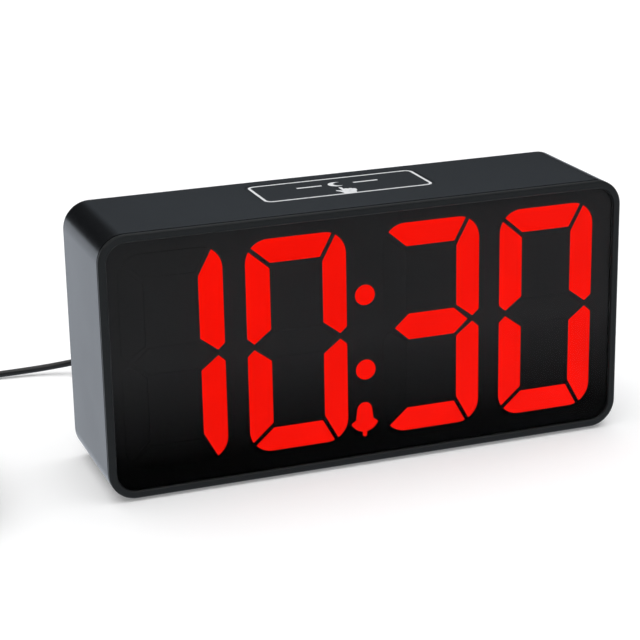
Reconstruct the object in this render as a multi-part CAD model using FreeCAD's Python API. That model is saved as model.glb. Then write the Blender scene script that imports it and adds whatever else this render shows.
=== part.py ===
import FreeCAD, Part
import math
import os

from FreeCAD import Vector

# Mains-powered LED alarm clock with its low-voltage lead and wall adapter.
# Millimetres, +Z up. The front faces -Y. The origin is on the table, under the middle of the clock.

# Housing: a one-piece sleeve that stands on four rubber feet.
WIDTH = 135.0
DEPTH = 35.0
BODY_HEIGHT = 65.7
CORNER_R = 6.8
WALL = 2.0
REAR_EDGE = 0.5
FOOT_HEIGHT = 0.7
FOOT_LENGTH = 12.0
FOOT_WIDTH = 5.0
FOOT_SINK = 0.5
FOOT_FIT = 0.1
FOOT_INSET_X = 15.5
FOOT_INSET_Y = 7.0

# Front bezel: a thin rim whose skirt slides into a rebate in the sleeve.
RIM_WIDTH = 1.9
RIM_THICK = 1.0
RIM_EDGE = 0.4
RIM_INNER_EDGE = 0.2
SEAM = 0.12
REBATE_WALL = 1.0
SKIRT_DEPTH = 3.3
SKIRT_FIT = 0.05
LEDGE_WIDTH = 1.1

# Smoked lens.
LENS_RECESS = 0.3
LENS_THICK = 1.8
LENS_FIT = 0.08

# Seven-segment display block.
DISPLAY_X = -1.2
DIGIT_BASE = 6.4
DIGIT_SIDE = 5.9
DIGIT_SPACE = 5.6
COLON_SPACE = 9.6
DIGIT_TOP = 5.35
WAIST_RISE = 0.3
DIGIT_CORNER_R = 5.75
SIDE_STROKE = 6.1
END_STROKE = 6.0
BAR_STROKE = 6.7
SEGMENT_GAP = 1.05
GAP_RUN_OUT = 3.0
GAP_RUN_IN = 1.2
COLON_R = 2.6
COLON_RISE = 9.65
BELL_BASE = 6.4
BELL_X = -1.6
BELL_THROAT = 2.9
BLOCK_MARGIN = 1.0
BLOCK_CORNER_R = 2.0
BLOCK_DEPTH = 8.0
INSERT_DEPTH = 1.5
INSERT_FIT = 0.05
WELL_SHOULDER = 0.35
THROAT_SHARE = 0.7
LED_LENGTH = 1.6
LED_WIDTH = 1.2
LED_HEIGHT = 0.7

# Boards.
BOARD_THICK = 1.6
BOARD_FIT = 0.7
REAR_ROOM = 11.6
MAIN_BOARD_SIDE = 9.5
MAIN_BOARD_LOW = 5.3
MAIN_BOARD_HIGH = 6.4
HEADER_PINS = 10
HEADER_PITCH = 2.54
HEADER_WIDTH = 2.5
HEADER_PIN = 0.64
HEADER_DROP = 17.0

# Small parts on the main board.
CHIP_DROP = 13.0
CHIP_LENGTH = 18.0
CHIP_WIDTH = 7.5
CHIP_THICK = 2.3
CHIP_LIFT = 0.1
CHIP_FEET = 14
CHIP_PITCH = 1.27
CHIP_FOOT_WIDTH = 0.42
CHIP_FOOT_REACH = 1.4
CHIP_FOOT_THICK = 0.3
CRYSTAL_X = 18.0
CRYSTAL_R = 1.5
CRYSTAL_LENGTH = 8.0
CAPACITOR_X = -25.5
CAPACITOR_DROP = 19.0
CAPACITOR_R = 3.15
CAPACITOR_HEIGHT = 8.0
CAPACITOR_BASE = 6.6
CAPACITOR_BASE_THICK = 0.8
SMALL_PITCH = 6.0
TRANSISTORS = 4
TRANSISTOR_DROP = 9.0
TRANSISTOR_LENGTH = 2.9
TRANSISTOR_WIDTH = 1.3
TRANSISTOR_THICK = 1.1
RESISTORS = 6
RESISTOR_DROPS = (24.0, 29.0)
RESISTOR_LENGTH = 2.0
RESISTOR_WIDTH = 1.25
RESISTOR_THICK = 0.6

# Rear cover, its bosses, posts and screws.
COVER_THICK = 2.0
COVER_RECESS = 0.4
COVER_FIT = 0.15
COVER_EDGE = 0.3
BOSS_SIZE = 5.0
BOSS_INSET = 4.0
WEB_THICK = 1.2
POST_SIZE = 5.0
POST_INSET = 14.5
POST_DROP = 2.0
PEG_SIZE = 2.2
PEG_HEAD = 3.2
PEG_HEAD_THICK = 0.7
PEG_FIT = 0.1
SCREW_R = 1.25
SCREW_LENGTH = 8.0
SCREW_HEAD_R = 2.3
SCREW_HEAD = 1.0
SCREW_FIT = 0.02
SCREW_HOLE_FIT = 0.15

# Snooze key in the top.
SNOOZE_X = 0.5
SNOOZE_WIDTH = 45.4
SNOOZE_FRONT_ROOM = 0.6
SNOOZE_BACK_ROOM = 0.7
SNOOZE_CORNER_R = 2.3
SNOOZE_GAP = 0.15
SNOOZE_SINK = 0.05
SNOOZE_FLANGE = 1.2
SNOOZE_FLANGE_THICK = 1.2
SNOOZE_RIB = 1.0
SNOOZE_RIB_DROP = 0.9
SNOOZE_RIB_Y = 6.0
SNOOZE_BOSS = 4.0
SNOOZE_PLUNGER_LENGTH = 2.0

# Push switches and their plungers.
SWITCH_SIZE = 6.0
SWITCH_HEIGHT = 3.5
PLUNGER_SIZE = 2.6
PLUNGER_FIT = 0.1
PLUNGER_LENGTH = 3.0
PLUNGER_SEAT = 1.1
PLUNGER_START = 0.6

# Rear buttons.
BUTTON_NAMES = ("minute", "hour", "time", "alarm")
BUTTON_FIRST_X = -27.0
BUTTON_PITCH = 15.0
BUTTON_DROP = 23.4
BUTTON_WIDTH = 9.0
BUTTON_HIGH = 5.5
BUTTON_PROUD = 0.5
BUTTON_GAP = 0.2
BUTTON_EDGE = 0.4
BUTTON_FLANGE = 0.8
BUTTON_FLANGE_THICK = 1.1
BUTTON_STEM = 3.0

# Brightness wheel.
WHEEL_X = -46.5
WHEEL_DROP = 22.4
WHEEL_R = 7.0
WHEEL_THICK = 3.0
WHEEL_PROUD = 0.6
WHEEL_GROOVES = 20
WHEEL_GROOVE = 0.45
WHEEL_GAP = 0.2
SLOT_GAP = 0.4
SPINDLE_R = 1.6
SPINDLE_FIT = 0.05
SPINDLE_CAP_R = 2.4
SPINDLE_CAP = 0.6
CONTROL_WIDTH = 10.0
CONTROL_THICK = 2.4
CONTROL_GAP = 0.4

# Loudness slide switch.
SLIDER_X = 33.5
SLIDER_DROP = 20.4
SLIDER_TRAVEL = 2.5
SLIDER_WIDTH = 3.4
SLIDER_HIGH = 2.6
SLIDER_PROUD = 0.3
SLIDER_FOOT = 0.6
SLIDER_GAP = 0.2
SLIDER_GROOVE = 0.38
SLIDER_GROOVE_PITCH = 0.94
SLIDE_SWITCH_WIDTH = 9.0
SLIDE_SWITCH_HIGH = 4.4
SLIDE_SWITCH_RISE = 6.0

# Buzzer and its sound holes.
BUZZER_X = 9.0
BUZZER_Z = 20.0
BUZZER_R = 6.0
BUZZER_HEIGHT = 9.5
SOUND_SLOTS = 5
SOUND_SLOT = 1.0
SOUND_SLOT_PITCH = 2.2

# Backup cell, its pocket and twist-off door.
CELL_X = 36.0
CELL_Z = 21.0
CELL_R = 10.0
CELL_THICK = 3.2
CELL_GAP = 0.1
DOOR_R = 11.8
DOOR_FIT = 0.2
DOOR_LUG_ROOT = 1.0
DOOR_LUGS = 3
DOOR_LUG_REACH = 1.2
DOOR_LUG_THICK = 1.2
DOOR_LUG_SPAN = 22.0
DOOR_LUG_PLAY = 4.0
DOOR_TURN = 40.0
COIN_SLOT_LENGTH = 12.0
COIN_SLOT_WIDTH = 1.6
COIN_SLOT_DEPTH = 0.8
POCKET_WALL = 1.2
POCKET_GAP = 0.3
CONTACT_THICK = 0.3
CONTACT_WIDTH = 2.4
CONTACT_HEIGHT = 0.8
CONTACT_REACH = 7.0

# USB charging socket.
USB_X = -14.0
USB_Z = 16.0
USB_WIDTH = 13.1
USB_HIGH = 5.7
USB_WALL = 0.3
USB_FIT = 0.2
USB_BASE = 3.0
USB_TONGUE = 1.9
USB_TONGUE_SIDE = 0.8
USB_TONGUE_TOP = 0.7
USB_TONGUE_LENGTH = 9.0

# DC jack, plug and strain relief.
JACK_X = -36.0
JACK_Z = 16.0
JACK_SIZE = 9.0
JACK_NOSE_R = 4.0
JACK_NOSE_FIT = 0.15
JACK_BORE_R = 2.8
JACK_BORE_DEPTH = 10.0
JACK_PIN_R = 1.0
BARREL_R = 2.75
BARREL_BORE_R = 1.15
BARREL_LENGTH = 9.5
PLUG_GAP = 0.3
PLUG_R = 4.3
PLUG_LENGTH = 15.0
PLUG_RIDGES = 3
PLUG_RIDGE_PITCH = 2.6
PLUG_RIDGE = 0.35
RELIEF_BASE_R = 2.7
RELIEF_BASE = 4.0
RELIEF_TIP_R = 1.6

# Lead: the free run, its put-away coil and the tail to the adapter.
CORD_R = 0.95
CORD_ROUTE = (
    (-36.0, 43.0, 16.0),
    (-36.0, 54.5, 16.0),
    (-42.0, 70.6, 7.2),
    (-57.5, 80.2, 2.0),
    (-77.0, 82.4, 1.0),
    (-96.5, 82.2, 1.45),
)
TAIL_ROUTE = (
    (-111.7, 67.0, 7.15),
    (-113.0, 50.0, 7.6),
    (-113.0, 33.0, 7.6),
)
COIL_X = -96.5
COIL_Y = 67.0
COIL_LIFT = 0.5
COIL_MEAN_R = 11.4
COIL_COLUMNS = 5
COIL_LAYERS = 4
ARC_SHARE = 0.45
TIE_WIDTH = 4.0
TIE_FIT = 0.05
TIE_ANGLE = -60.0
TIE_EDGE_SHARE = 0.9

# Wall adapter.
ADAPTER_X = -113.0
ADAPTER_Y = 0.0
ADAPTER_WIDTH = 30.0
ADAPTER_LENGTH = 44.0
ADAPTER_HIGH = 24.0
ADAPTER_EDGE_R = 3.0
BLADE_SPACING = 12.7
BLADE_WIDTH = 6.3
BLADE_THICK = 1.5
BLADE_LENGTH = 16.0
BLADE_HOLE_R = 1.4
BLADE_HOLE_FROM_TIP = 3.5
BLADE_Y = 8.0
BLADE_TIP = 1.2

# Planes that more than one piece shares.
OVER = 1.0
FRONT = -DEPTH / 2
BACK = DEPTH / 2
TOP = FOOT_HEIGHT + BODY_HEIGHT
SLEEVE_FRONT = FRONT + RIM_THICK + SEAM
REBATE_BACK = FRONT + RIM_THICK + SKIRT_DEPTH + SKIRT_FIT
LENS_FRONT = FRONT + LENS_RECESS
LENS_BACK = LENS_FRONT + LENS_THICK
BLOCK_BACK = LENS_BACK + BLOCK_DEPTH
DISPLAY_BOARD_BACK = BLOCK_BACK + BOARD_THICK
COVER_BACK = BACK - COVER_RECESS
COVER_FRONT = COVER_BACK - COVER_THICK
SNOOZE_FRONT = DISPLAY_BOARD_BACK + SNOOZE_FRONT_ROOM
SNOOZE_BACK = COVER_FRONT - SNOOZE_BACK_ROOM
SNOOZE_Y = (SNOOZE_FRONT + SNOOZE_BACK) / 2
SNOOZE_DEPTH = SNOOZE_BACK - SNOOZE_FRONT - 2 * SNOOZE_FLANGE
MAIN_BACK = COVER_FRONT - REAR_ROOM
MAIN_FRONT = MAIN_BACK - BOARD_THICK
DIGIT_Z = FOOT_HEIGHT + DIGIT_BASE
DIGIT_WIDTH = (WIDTH - 2 * DIGIT_SIDE - 2 * DIGIT_SPACE - COLON_SPACE) / 4
DIGIT_HEIGHT = BODY_HEIGHT - DIGIT_BASE - DIGIT_TOP
DIGIT_PITCH = DIGIT_WIDTH + DIGIT_SPACE
INNER_DIGIT_X = (COLON_SPACE + DIGIT_WIDTH) / 2
WAIST_Z = DIGIT_Z + DIGIT_HEIGHT / 2 + WAIST_RISE
BOARD_LOW_Z = FOOT_HEIGHT + MAIN_BOARD_LOW
BOARD_HIGH_Z = TOP - MAIN_BOARD_HIGH
POST_Z = (BOARD_LOW_Z + BOARD_HIGH_Z) / 2 - POST_DROP
CHIP_Z = BOARD_HIGH_Z - CHIP_DROP
HEADER_Z = CHIP_Z - HEADER_DROP
BUTTON_Z = TOP - BUTTON_DROP
WHEEL_Z = TOP - WHEEL_DROP
SLIDER_Z = TOP - SLIDER_DROP
CORD_END = CORD_ROUTE[0][1]

# The digit places, from left to right, and the segments that show 10:30.
DIGITS = (
    (-INNER_DIGIT_X - DIGIT_PITCH, "bc"),
    (-INNER_DIGIT_X, "abcdef"),
    (INNER_DIGIT_X, "abcdg"),
    (INNER_DIGIT_X + DIGIT_PITCH, "abcdef"),
)

ALONG_X = Vector(1, 0, 0)
ALONG_Y = Vector(0, 1, 0)
ALONG_Z = Vector(0, 0, 1)


def save(node, shape):
    """Write one node, a solid or a group of separate solids."""
    shape.exportStep("parts/" + node + ".step")


def group(solids):
    return Part.makeCompound(list(solids))


def box(x0, x1, y0, y1, z0, z1):
    return Part.makeBox(x1 - x0, y1 - y0, z1 - z0, Vector(x0, y0, z0))


def block_at(x, z, width, high, y0, y1):
    """A box centred on x, z that runs from y0 to y1."""
    return box(x - width / 2, x + width / 2, y0, y1, z - high / 2, z + high / 2)


def upright(x, y, size, z0, z1):
    """A square bar that stands on x, y."""
    return box(x - size / 2, x + size / 2, y - size / 2, y + size / 2, z0, z1)


def rod_x(y, z, r, x0, x1):
    return Part.makeCylinder(r, x1 - x0, Vector(x0, y, z), ALONG_X)


def rod_y(x, z, r, y0, y1):
    return Part.makeCylinder(r, y1 - y0, Vector(x, y0, z), ALONG_Y)


def rod_z(x, y, r, z0, z1):
    return Part.makeCylinder(r, z1 - z0, Vector(x, y, z0), ALONG_Z)


def polygon(points, y):
    """A flat face at y from (x, z) points."""
    corners = [Vector(x, y, z) for x, z in points]
    return Part.Face(Part.makePolygon(corners + corners[:1]))


def rounded_face(x0, x1, z0, z1, r, y):
    """A rectangle with round corners, facing the front."""
    c = r * (1 - math.sqrt(0.5))
    edges = []
    corners = (
        ((x0, z0 + r), (x0 + c, z0 + c), (x0 + r, z0)),
        ((x1 - r, z0), (x1 - c, z0 + c), (x1, z0 + r)),
        ((x1, z1 - r), (x1 - c, z1 - c), (x1 - r, z1)),
        ((x0 + r, z1), (x0 + c, z1 - c), (x0, z1 - r)),
    )
    for number, corner in enumerate(corners):
        start, middle, end = [Vector(x, y, z) for x, z in corner]
        edges.append(Part.Arc(start, middle, end).toShape())
        following = corners[(number + 1) % len(corners)][0]
        edges.append(Part.makeLine(end, Vector(following[0], y, following[1])))
    return Part.Face(Part.Wire(edges))


def rounded_plate(x0, x1, z0, z1, r, y0, y1):
    return rounded_face(x0, x1, z0, z1, r, y0).extrude(ALONG_Y * (y1 - y0))


def rounded_key(x, z, width, high, r, y0, y1):
    """A round-cornered plate centred on x, z."""
    return rounded_plate(x - width / 2, x + width / 2, z - high / 2, z + high / 2, r, y0, y1)


def body_plate(inset, y0, y1):
    """A plate of the housing's outline, set in by inset all round."""
    side = WIDTH / 2 - inset
    return rounded_plate(
        -side, side, FOOT_HEIGHT + inset, TOP - inset, max(CORNER_R - inset, SEAM), y0, y1
    )


def edges_at_y(shape, y):
    """The edges that lie wholly in the plane at y."""
    flat = 0.001
    return [
        e for e in shape.Edges if abs(e.BoundBox.YMin - y) < flat and abs(e.BoundBox.YMax - y) < flat
    ]


def corner_places(inset_x, inset_z):
    side = WIDTH / 2 - inset_x
    return [(x, z) for x in (-side, side) for z in (FOOT_HEIGHT + inset_z, TOP - inset_z)]


def cover_screw_places():
    inset = WALL + BOSS_INSET
    return corner_places(inset, inset)


def post_places():
    return [(side * (WIDTH / 2 - POST_INSET), POST_Z) for side in (-1, 1)]


def foot_places():
    side = WIDTH / 2 - FOOT_INSET_X
    reach = DEPTH / 2 - FOOT_INSET_Y
    return [(x, y) for x in (-side, side) for y in (-reach, reach)]


# ---------------------------------------------------------------- housing and front


def snooze_prism(grow, z0, z1):
    """The snooze key's outline, grown all round, as a block from z0 up to z1."""
    width = SNOOZE_WIDTH + 2 * grow
    depth = SNOOZE_DEPTH + 2 * grow
    block = rounded_key(SNOOZE_X, -SNOOZE_Y, width, depth, SNOOZE_CORNER_R + grow, z0, z1)
    block.rotate(Vector(0, 0, 0), ALONG_X, 90)
    return block


def screw_bosses():
    """Four bosses, each tied to its two walls by webs. Their front ends hold the display board."""
    pieces = []
    for x, z in cover_screw_places():
        out_x = math.copysign(BOSS_INSET + WALL / 2, x)
        out_z = math.copysign(BOSS_INSET + WALL / 2, z - FOOT_HEIGHT - BODY_HEIGHT / 2)
        pieces.append(block_at(x, z, BOSS_SIZE, BOSS_SIZE, DISPLAY_BOARD_BACK, COVER_FRONT))
        pieces.append(block_at(x + out_x / 2, z, abs(out_x), WEB_THICK, DISPLAY_BOARD_BACK, COVER_FRONT))
        pieces.append(block_at(x, z + out_z / 2, WEB_THICK, abs(out_z), DISPLAY_BOARD_BACK, COVER_FRONT))
    return pieces


def make_housing():
    sleeve = body_plate(0, SLEEVE_FRONT, BACK)
    sleeve = sleeve.makeChamfer(REAR_EDGE, edges_at_y(sleeve, BACK))
    sleeve = sleeve.cut(body_plate(WALL, SLEEVE_FRONT - OVER, BACK + OVER))
    sleeve = sleeve.cut(body_plate(REBATE_WALL, SLEEVE_FRONT - OVER, REBATE_BACK))
    sleeve = sleeve.fuse(screw_bosses())
    holes = [snooze_prism(SNOOZE_GAP, TOP - WALL - OVER, TOP + OVER)]
    tip = COVER_BACK - SCREW_LENGTH
    for x, z in cover_screw_places():
        holes.append(rod_y(x, z, SCREW_R + SCREW_FIT, tip - OVER, COVER_FRONT + OVER))
    for x, y in foot_places():
        holes.append(foot_pad(x, y, FOOT_FIT))
    return sleeve.cut(holes)


def foot_pad(x, y, grow):
    """A rubber pad, or with grow the recess that it is glued into."""
    half_x = FOOT_LENGTH / 2 + grow
    half_y = FOOT_WIDTH / 2 + grow
    return box(x - half_x, x + half_x, y - half_y, y + half_y, 0, FOOT_HEIGHT + FOOT_SINK)


def make_bezel():
    rim = body_plate(0, FRONT, FRONT + RIM_THICK)
    rim = rim.makeChamfer(RIM_EDGE, edges_at_y(rim, FRONT))
    skirt_back = FRONT + RIM_THICK + SKIRT_DEPTH
    skirt = body_plate(REBATE_WALL + SKIRT_FIT, FRONT + RIM_THICK - SEAM, skirt_back)
    opening = body_plate(RIM_WIDTH, FRONT - OVER, LENS_BACK)
    sight = body_plate(RIM_WIDTH + LEDGE_WIDTH, LENS_BACK - OVER, skirt_back + OVER)
    bezel = rim.fuse(skirt).cut([opening, sight]).removeSplitter()
    above = FOOT_HEIGHT + RIM_EDGE + RIM_INNER_EDGE
    inner = [e for e in edges_at_y(bezel, FRONT) if e.BoundBox.ZMin > above]
    return bezel.makeChamfer(RIM_INNER_EDGE, inner)


def make_lens():
    return body_plate(RIM_WIDTH + LENS_FIT, LENS_FRONT, LENS_BACK)


# ---------------------------------------------------------------- display


def slot_face(start, end, y):
    """A gap between two segments, as wide as SEGMENT_GAP and run past both ends."""
    run = Vector(end[0] - start[0], 0, end[1] - start[1])
    run.normalize()
    side = Vector(-run.z, 0, run.x) * (SEGMENT_GAP / 2)
    first = Vector(start[0], 0, start[1]) - run * GAP_RUN_OUT
    last = Vector(end[0], 0, end[1]) + run * GAP_RUN_IN
    corners = (first + side, last + side, last - side, first - side)
    return polygon([(c.x, c.z) for c in corners], y)


def waist_notch(x, inward, y):
    """The arrow-shaped gap where two upright segments meet the middle bar at one side."""
    tip_in, tip_gap = 1.75, 0.7
    bar_tip_in = 3.0
    outer_rise = 3.14
    reach, reach_rise, bar_rise = 7.4, 4.99, 3.96
    half = (
        (-1.0, outer_rise),
        (tip_in, tip_gap),
        (reach, reach_rise),
        (reach, bar_rise),
    )
    points = list(half) + [(bar_tip_in, 0)] + [(u, -v) for u, v in reversed(half)]
    return polygon([(x + inward * u, WAIST_Z + v) for u, v in points], y)


def corner_slots(x0, x1, y):
    """The four mitred gaps at the corners of a digit."""
    left_outer, left_inner = (1.5, 2.6), (6.15, 6.65)
    right_outer, right_inner = (3.4, 1.1), (6.4, 6.6)
    slots = []
    for end, up in ((DIGIT_Z, 1), (DIGIT_Z + DIGIT_HEIGHT, -1)):
        slots.append(
            slot_face(
                (x0 + left_outer[0], end + up * left_outer[1]),
                (x0 + left_inner[0], end + up * left_inner[1]),
                y,
            )
        )
        slots.append(
            slot_face(
                (x1 - right_outer[0], end + up * right_outer[1]),
                (x1 - right_inner[0], end + up * right_inner[1]),
                y,
            )
        )
    return slots


def segment_letter(face, x0):
    """Name a segment a to g by where its middle lies in the digit."""
    middle = face.CenterOfMass
    u = middle.x - x0 - DIGIT_WIDTH / 2
    v = middle.z - WAIST_Z
    if abs(u) < DIGIT_WIDTH / 4:
        if abs(v) < BAR_STROKE:
            return "g"
        return "a" if v > 0 else "d"
    if u > 0:
        return "b" if v > 0 else "c"
    return "f" if v > 0 else "e"


def digit_faces(centre_x, y):
    """The seven segment faces of one digit, by letter: a figure eight cut by its gaps."""
    x0 = centre_x - DIGIT_WIDTH / 2
    x1 = centre_x + DIGIT_WIDTH / 2
    top = DIGIT_Z + DIGIT_HEIGHT
    plate = rounded_face(x0, x1, DIGIT_Z, top, DIGIT_CORNER_R, y)
    left, right = x0 + SIDE_STROKE, x1 - SIDE_STROKE
    low_window = ((left, DIGIT_Z + END_STROKE), (right, WAIST_Z - BAR_STROKE / 2))
    high_window = ((left, WAIST_Z + BAR_STROKE / 2), (right, top - END_STROKE))
    tools = corner_slots(x0, x1, y)
    tools += [waist_notch(x0, 1, y), waist_notch(x1, -1, y)]
    for (ax, az), (bx, bz) in (low_window, high_window):
        tools.append(polygon([(ax, az), (bx, az), (bx, bz), (ax, bz)], y))
    faces = plate.cut(tools).Faces
    return {segment_letter(face, x0): face for face in faces}


def bell_face(y):
    """The alarm mark: a dome with a flared lip and a clapper."""
    dome_r, dome_rise = 2.0, 7.1
    waist, waist_rise = 2.3, 4.6
    lip, lip_high, lip_low = 3.3, 3.9, 3.2
    bulge = 0.2
    scoop, scoop_rise = 2.1, 1.95
    clapper, clapper_top, clapper_end = 0.58, 1.35, 0.5

    lip_middle = (lip_high + lip_low) / 2

    def at(u, v):
        return Vector(BELL_X + u, y, FOOT_HEIGHT + BELL_BASE + v)

    def arc(a, b, c):
        return Part.Arc(at(*a), at(*b), at(*c)).toShape()

    def line(a, b):
        return Part.makeLine(at(*a), at(*b))

    edges = [arc((-dome_r, dome_rise), (0, dome_rise + dome_r), (dome_r, dome_rise))]
    edges.append(line((dome_r, dome_rise), (waist, waist_rise)))
    edges.append(line((waist, waist_rise), (lip, lip_high)))
    edges.append(arc((lip, lip_high), (lip + bulge, lip_middle), (lip, lip_low)))
    edges.append(arc((lip, lip_low), (scoop, scoop_rise), (clapper, clapper_top)))
    edges.append(line((clapper, clapper_top), (clapper, clapper_end)))
    edges.append(arc((clapper, clapper_end), (0, 0), (-clapper, clapper_end)))
    edges.append(line((-clapper, clapper_end), (-clapper, clapper_top)))
    edges.append(arc((-clapper, clapper_top), (-scoop, scoop_rise), (-lip, lip_low)))
    edges.append(arc((-lip, lip_low), (-lip - bulge, lip_middle), (-lip, lip_high)))
    edges.append(line((-lip, lip_high), (-waist, waist_rise)))
    edges.append(line((-waist, waist_rise), (-dome_r, dome_rise)))
    return Part.Face(Part.Wire(edges))


def shrink(face, by):
    """The same outline set in all round, with its corners kept sharp."""
    return face.makeOffset2D(-by, join=2).Wires[0]


def make_insert(face):
    """The clear plug that fills the mouth of a light well."""
    return Part.Face(shrink(face, INSERT_FIT)).extrude(ALONG_Y * INSERT_DEPTH)


def make_reflector(face):
    """The well behind an insert's shoulder. Its flat sides draw in towards the middle of the LEDs."""
    start = LENS_BACK + INSERT_DEPTH - SEAM
    middle = face.CenterOfMass
    mouth, throat = [], []
    for corner in shrink(face, WELL_SHOULDER).OrderedVertexes:
        x, z = corner.X, corner.Z
        mouth.append(Vector(x, start, z))
        x = middle.x + (x - middle.x) * THROAT_SHARE
        z = middle.z + (z - middle.z) * THROAT_SHARE
        throat.append(Vector(x, BLOCK_BACK + SEAM, z))
    faces = [Part.Face(Part.makePolygon(ring + ring[:1])) for ring in (mouth, throat)]
    for n in range(len(mouth)):
        a, b, c, d = mouth[n - 1], mouth[n], throat[n], throat[n - 1]
        faces.append(Part.Face(Part.makePolygon([a, b, c, a])))
        faces.append(Part.Face(Part.makePolygon([a, c, d, a])))
    solid = Part.Solid(Part.Shell(faces))
    if solid.Volume < 0:
        solid.reverse()
    return solid


def make_well(face):
    """The hollow behind one segment: the insert's seat, then the reflector."""
    return [face.extrude(ALONG_Y * INSERT_DEPTH), make_reflector(face)]


def colon_places():
    return [(DISPLAY_X, WAIST_Z - COLON_RISE), (DISPLAY_X, WAIST_Z + COLON_RISE)]


def led_at(x, z, upright):
    long, wide = LED_LENGTH, LED_WIDTH
    width, high = (wide, long) if upright else (long, wide)
    return block_at(x, z, width, high, BLOCK_BACK - LED_HEIGHT, BLOCK_BACK)


def segment_led(face):
    """The LED behind the middle of a segment, along its length."""
    middle = face.CenterOfMass
    extent = face.BoundBox
    return led_at(middle.x, middle.z, extent.ZLength > extent.XLength)


def make_display():
    """The block with its light wells, the inserts in them, and the LEDs behind."""
    reach = INNER_DIGIT_X + DIGIT_PITCH + DIGIT_WIDTH / 2 + BLOCK_MARGIN
    low = DIGIT_Z - BLOCK_MARGIN
    high = DIGIT_Z + DIGIT_HEIGHT + BLOCK_MARGIN
    block = rounded_plate(
        DISPLAY_X - reach, DISPLAY_X + reach, low, high, BLOCK_CORNER_R, LENS_BACK, BLOCK_BACK
    )
    lit, dark, leds, wells = [], [], [], []
    for place, shown in DIGITS:
        for letter, face in sorted(digit_faces(DISPLAY_X + place, LENS_BACK).items()):
            (lit if letter in shown else dark).append(make_insert(face))
            leds.append(segment_led(face))
            wells += make_well(face)
    dots = []
    for x, z in colon_places():
        dots.append(rod_y(x, z, COLON_R - INSERT_FIT, LENS_BACK, LENS_BACK + INSERT_DEPTH))
        wells.append(rod_y(x, z, COLON_R, LENS_BACK - SEAM, LENS_BACK + INSERT_DEPTH))
        wells.append(block_at(x, z, COLON_R, COLON_R, LENS_BACK, BLOCK_BACK + SEAM))
        leds.append(led_at(x, z, True))
    bell = bell_face(LENS_BACK)
    wells.append(bell.extrude(ALONG_Y * INSERT_DEPTH))
    bell_z = bell.CenterOfMass.z
    wells.append(block_at(BELL_X, bell_z, BELL_THROAT, BELL_THROAT, LENS_BACK, BLOCK_BACK + SEAM))
    leds.append(led_at(BELL_X, bell_z, True))
    save("display_block", block.cut(wells))
    save("lit_segments", group(lit))
    save("dark_segments", group(dark))
    save("colon_dots", group(dots))
    save("alarm_bell", make_insert(bell))
    save("leds", group(leds))


# ---------------------------------------------------------------- boards


def make_boards():
    display_board = body_plate(WALL + BOARD_FIT, BLOCK_BACK, DISPLAY_BOARD_BACK)
    side = WIDTH / 2 - MAIN_BOARD_SIDE
    main_board = box(-side, side, MAIN_FRONT, MAIN_BACK, BOARD_LOW_Z, BOARD_HIGH_Z)
    size = PEG_SIZE + 2 * PEG_FIT
    for x, z in post_places():
        main_board = main_board.cut(block_at(x, z, size, size, MAIN_FRONT - OVER, MAIN_BACK + OVER))
    save("display_board", display_board)
    save("main_board", main_board)


def make_header():
    """The pin strip that joins the two boards."""
    length = HEADER_PINS * HEADER_PITCH
    middle = (DISPLAY_BOARD_BACK + MAIN_FRONT) / 2
    strip = block_at(0, HEADER_Z, length, HEADER_WIDTH, middle - HEADER_WIDTH / 2, middle + HEADER_WIDTH / 2)
    pins = []
    for number in range(HEADER_PINS):
        x = (number + 0.5) * HEADER_PITCH - length / 2
        pins.append(block_at(x, HEADER_Z, HEADER_PIN, HEADER_PIN, DISPLAY_BOARD_BACK, MAIN_FRONT))
    return strip.fuse(pins).removeSplitter()


def make_chip():
    """The clock chip: a body with feet along both sides, soldered to the main board's front."""
    z = CHIP_Z
    underside = MAIN_FRONT - CHIP_LIFT
    body = block_at(0, z, CHIP_LENGTH, CHIP_WIDTH, underside - CHIP_THICK, underside)
    legs = []
    for number in range(CHIP_FEET):
        x = (number - (CHIP_FEET - 1) / 2) * CHIP_PITCH
        reach = CHIP_WIDTH + 2 * CHIP_FOOT_REACH
        legs.append(block_at(x, z, CHIP_FOOT_WIDTH, reach, MAIN_FRONT - CHIP_FOOT_THICK, MAIN_FRONT))
    return body.fuse(legs).removeSplitter()


def make_crystal():
    """The quartz crystal, a small can lying on the main board beside the chip."""
    return rod_x(MAIN_FRONT - CRYSTAL_R, CHIP_Z, CRYSTAL_R, CRYSTAL_X, CRYSTAL_X + CRYSTAL_LENGTH)


def make_capacitor():
    """The filter capacitor: a can on a square base, soldered to the main board's back."""
    x, z = CAPACITOR_X, CHIP_Z - CAPACITOR_DROP
    can = rod_y(x, z, CAPACITOR_R, MAIN_BACK, MAIN_BACK + CAPACITOR_HEIGHT)
    base = block_at(x, z, CAPACITOR_BASE, CAPACITOR_BASE, MAIN_BACK, MAIN_BACK + CAPACITOR_BASE_THICK)
    return can.fuse(base).removeSplitter()


def chip_row(count, drop, length, wide, thick):
    """A level row of small parts on the main board's front, centred under the chip."""
    z = CHIP_Z - drop
    places = [(n - (count - 1) / 2) * SMALL_PITCH for n in range(count)]
    return [block_at(x, z, length, wide, MAIN_FRONT - thick, MAIN_FRONT) for x in places]


def make_transistors():
    size = (TRANSISTOR_LENGTH, TRANSISTOR_WIDTH, TRANSISTOR_THICK)
    return group(chip_row(TRANSISTORS, TRANSISTOR_DROP, *size))


def make_resistors():
    rows = []
    for drop in RESISTOR_DROPS:
        rows += chip_row(RESISTORS, drop, RESISTOR_LENGTH, RESISTOR_WIDTH, RESISTOR_THICK)
    return group(rows)


# ---------------------------------------------------------------- keys and controls


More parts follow.
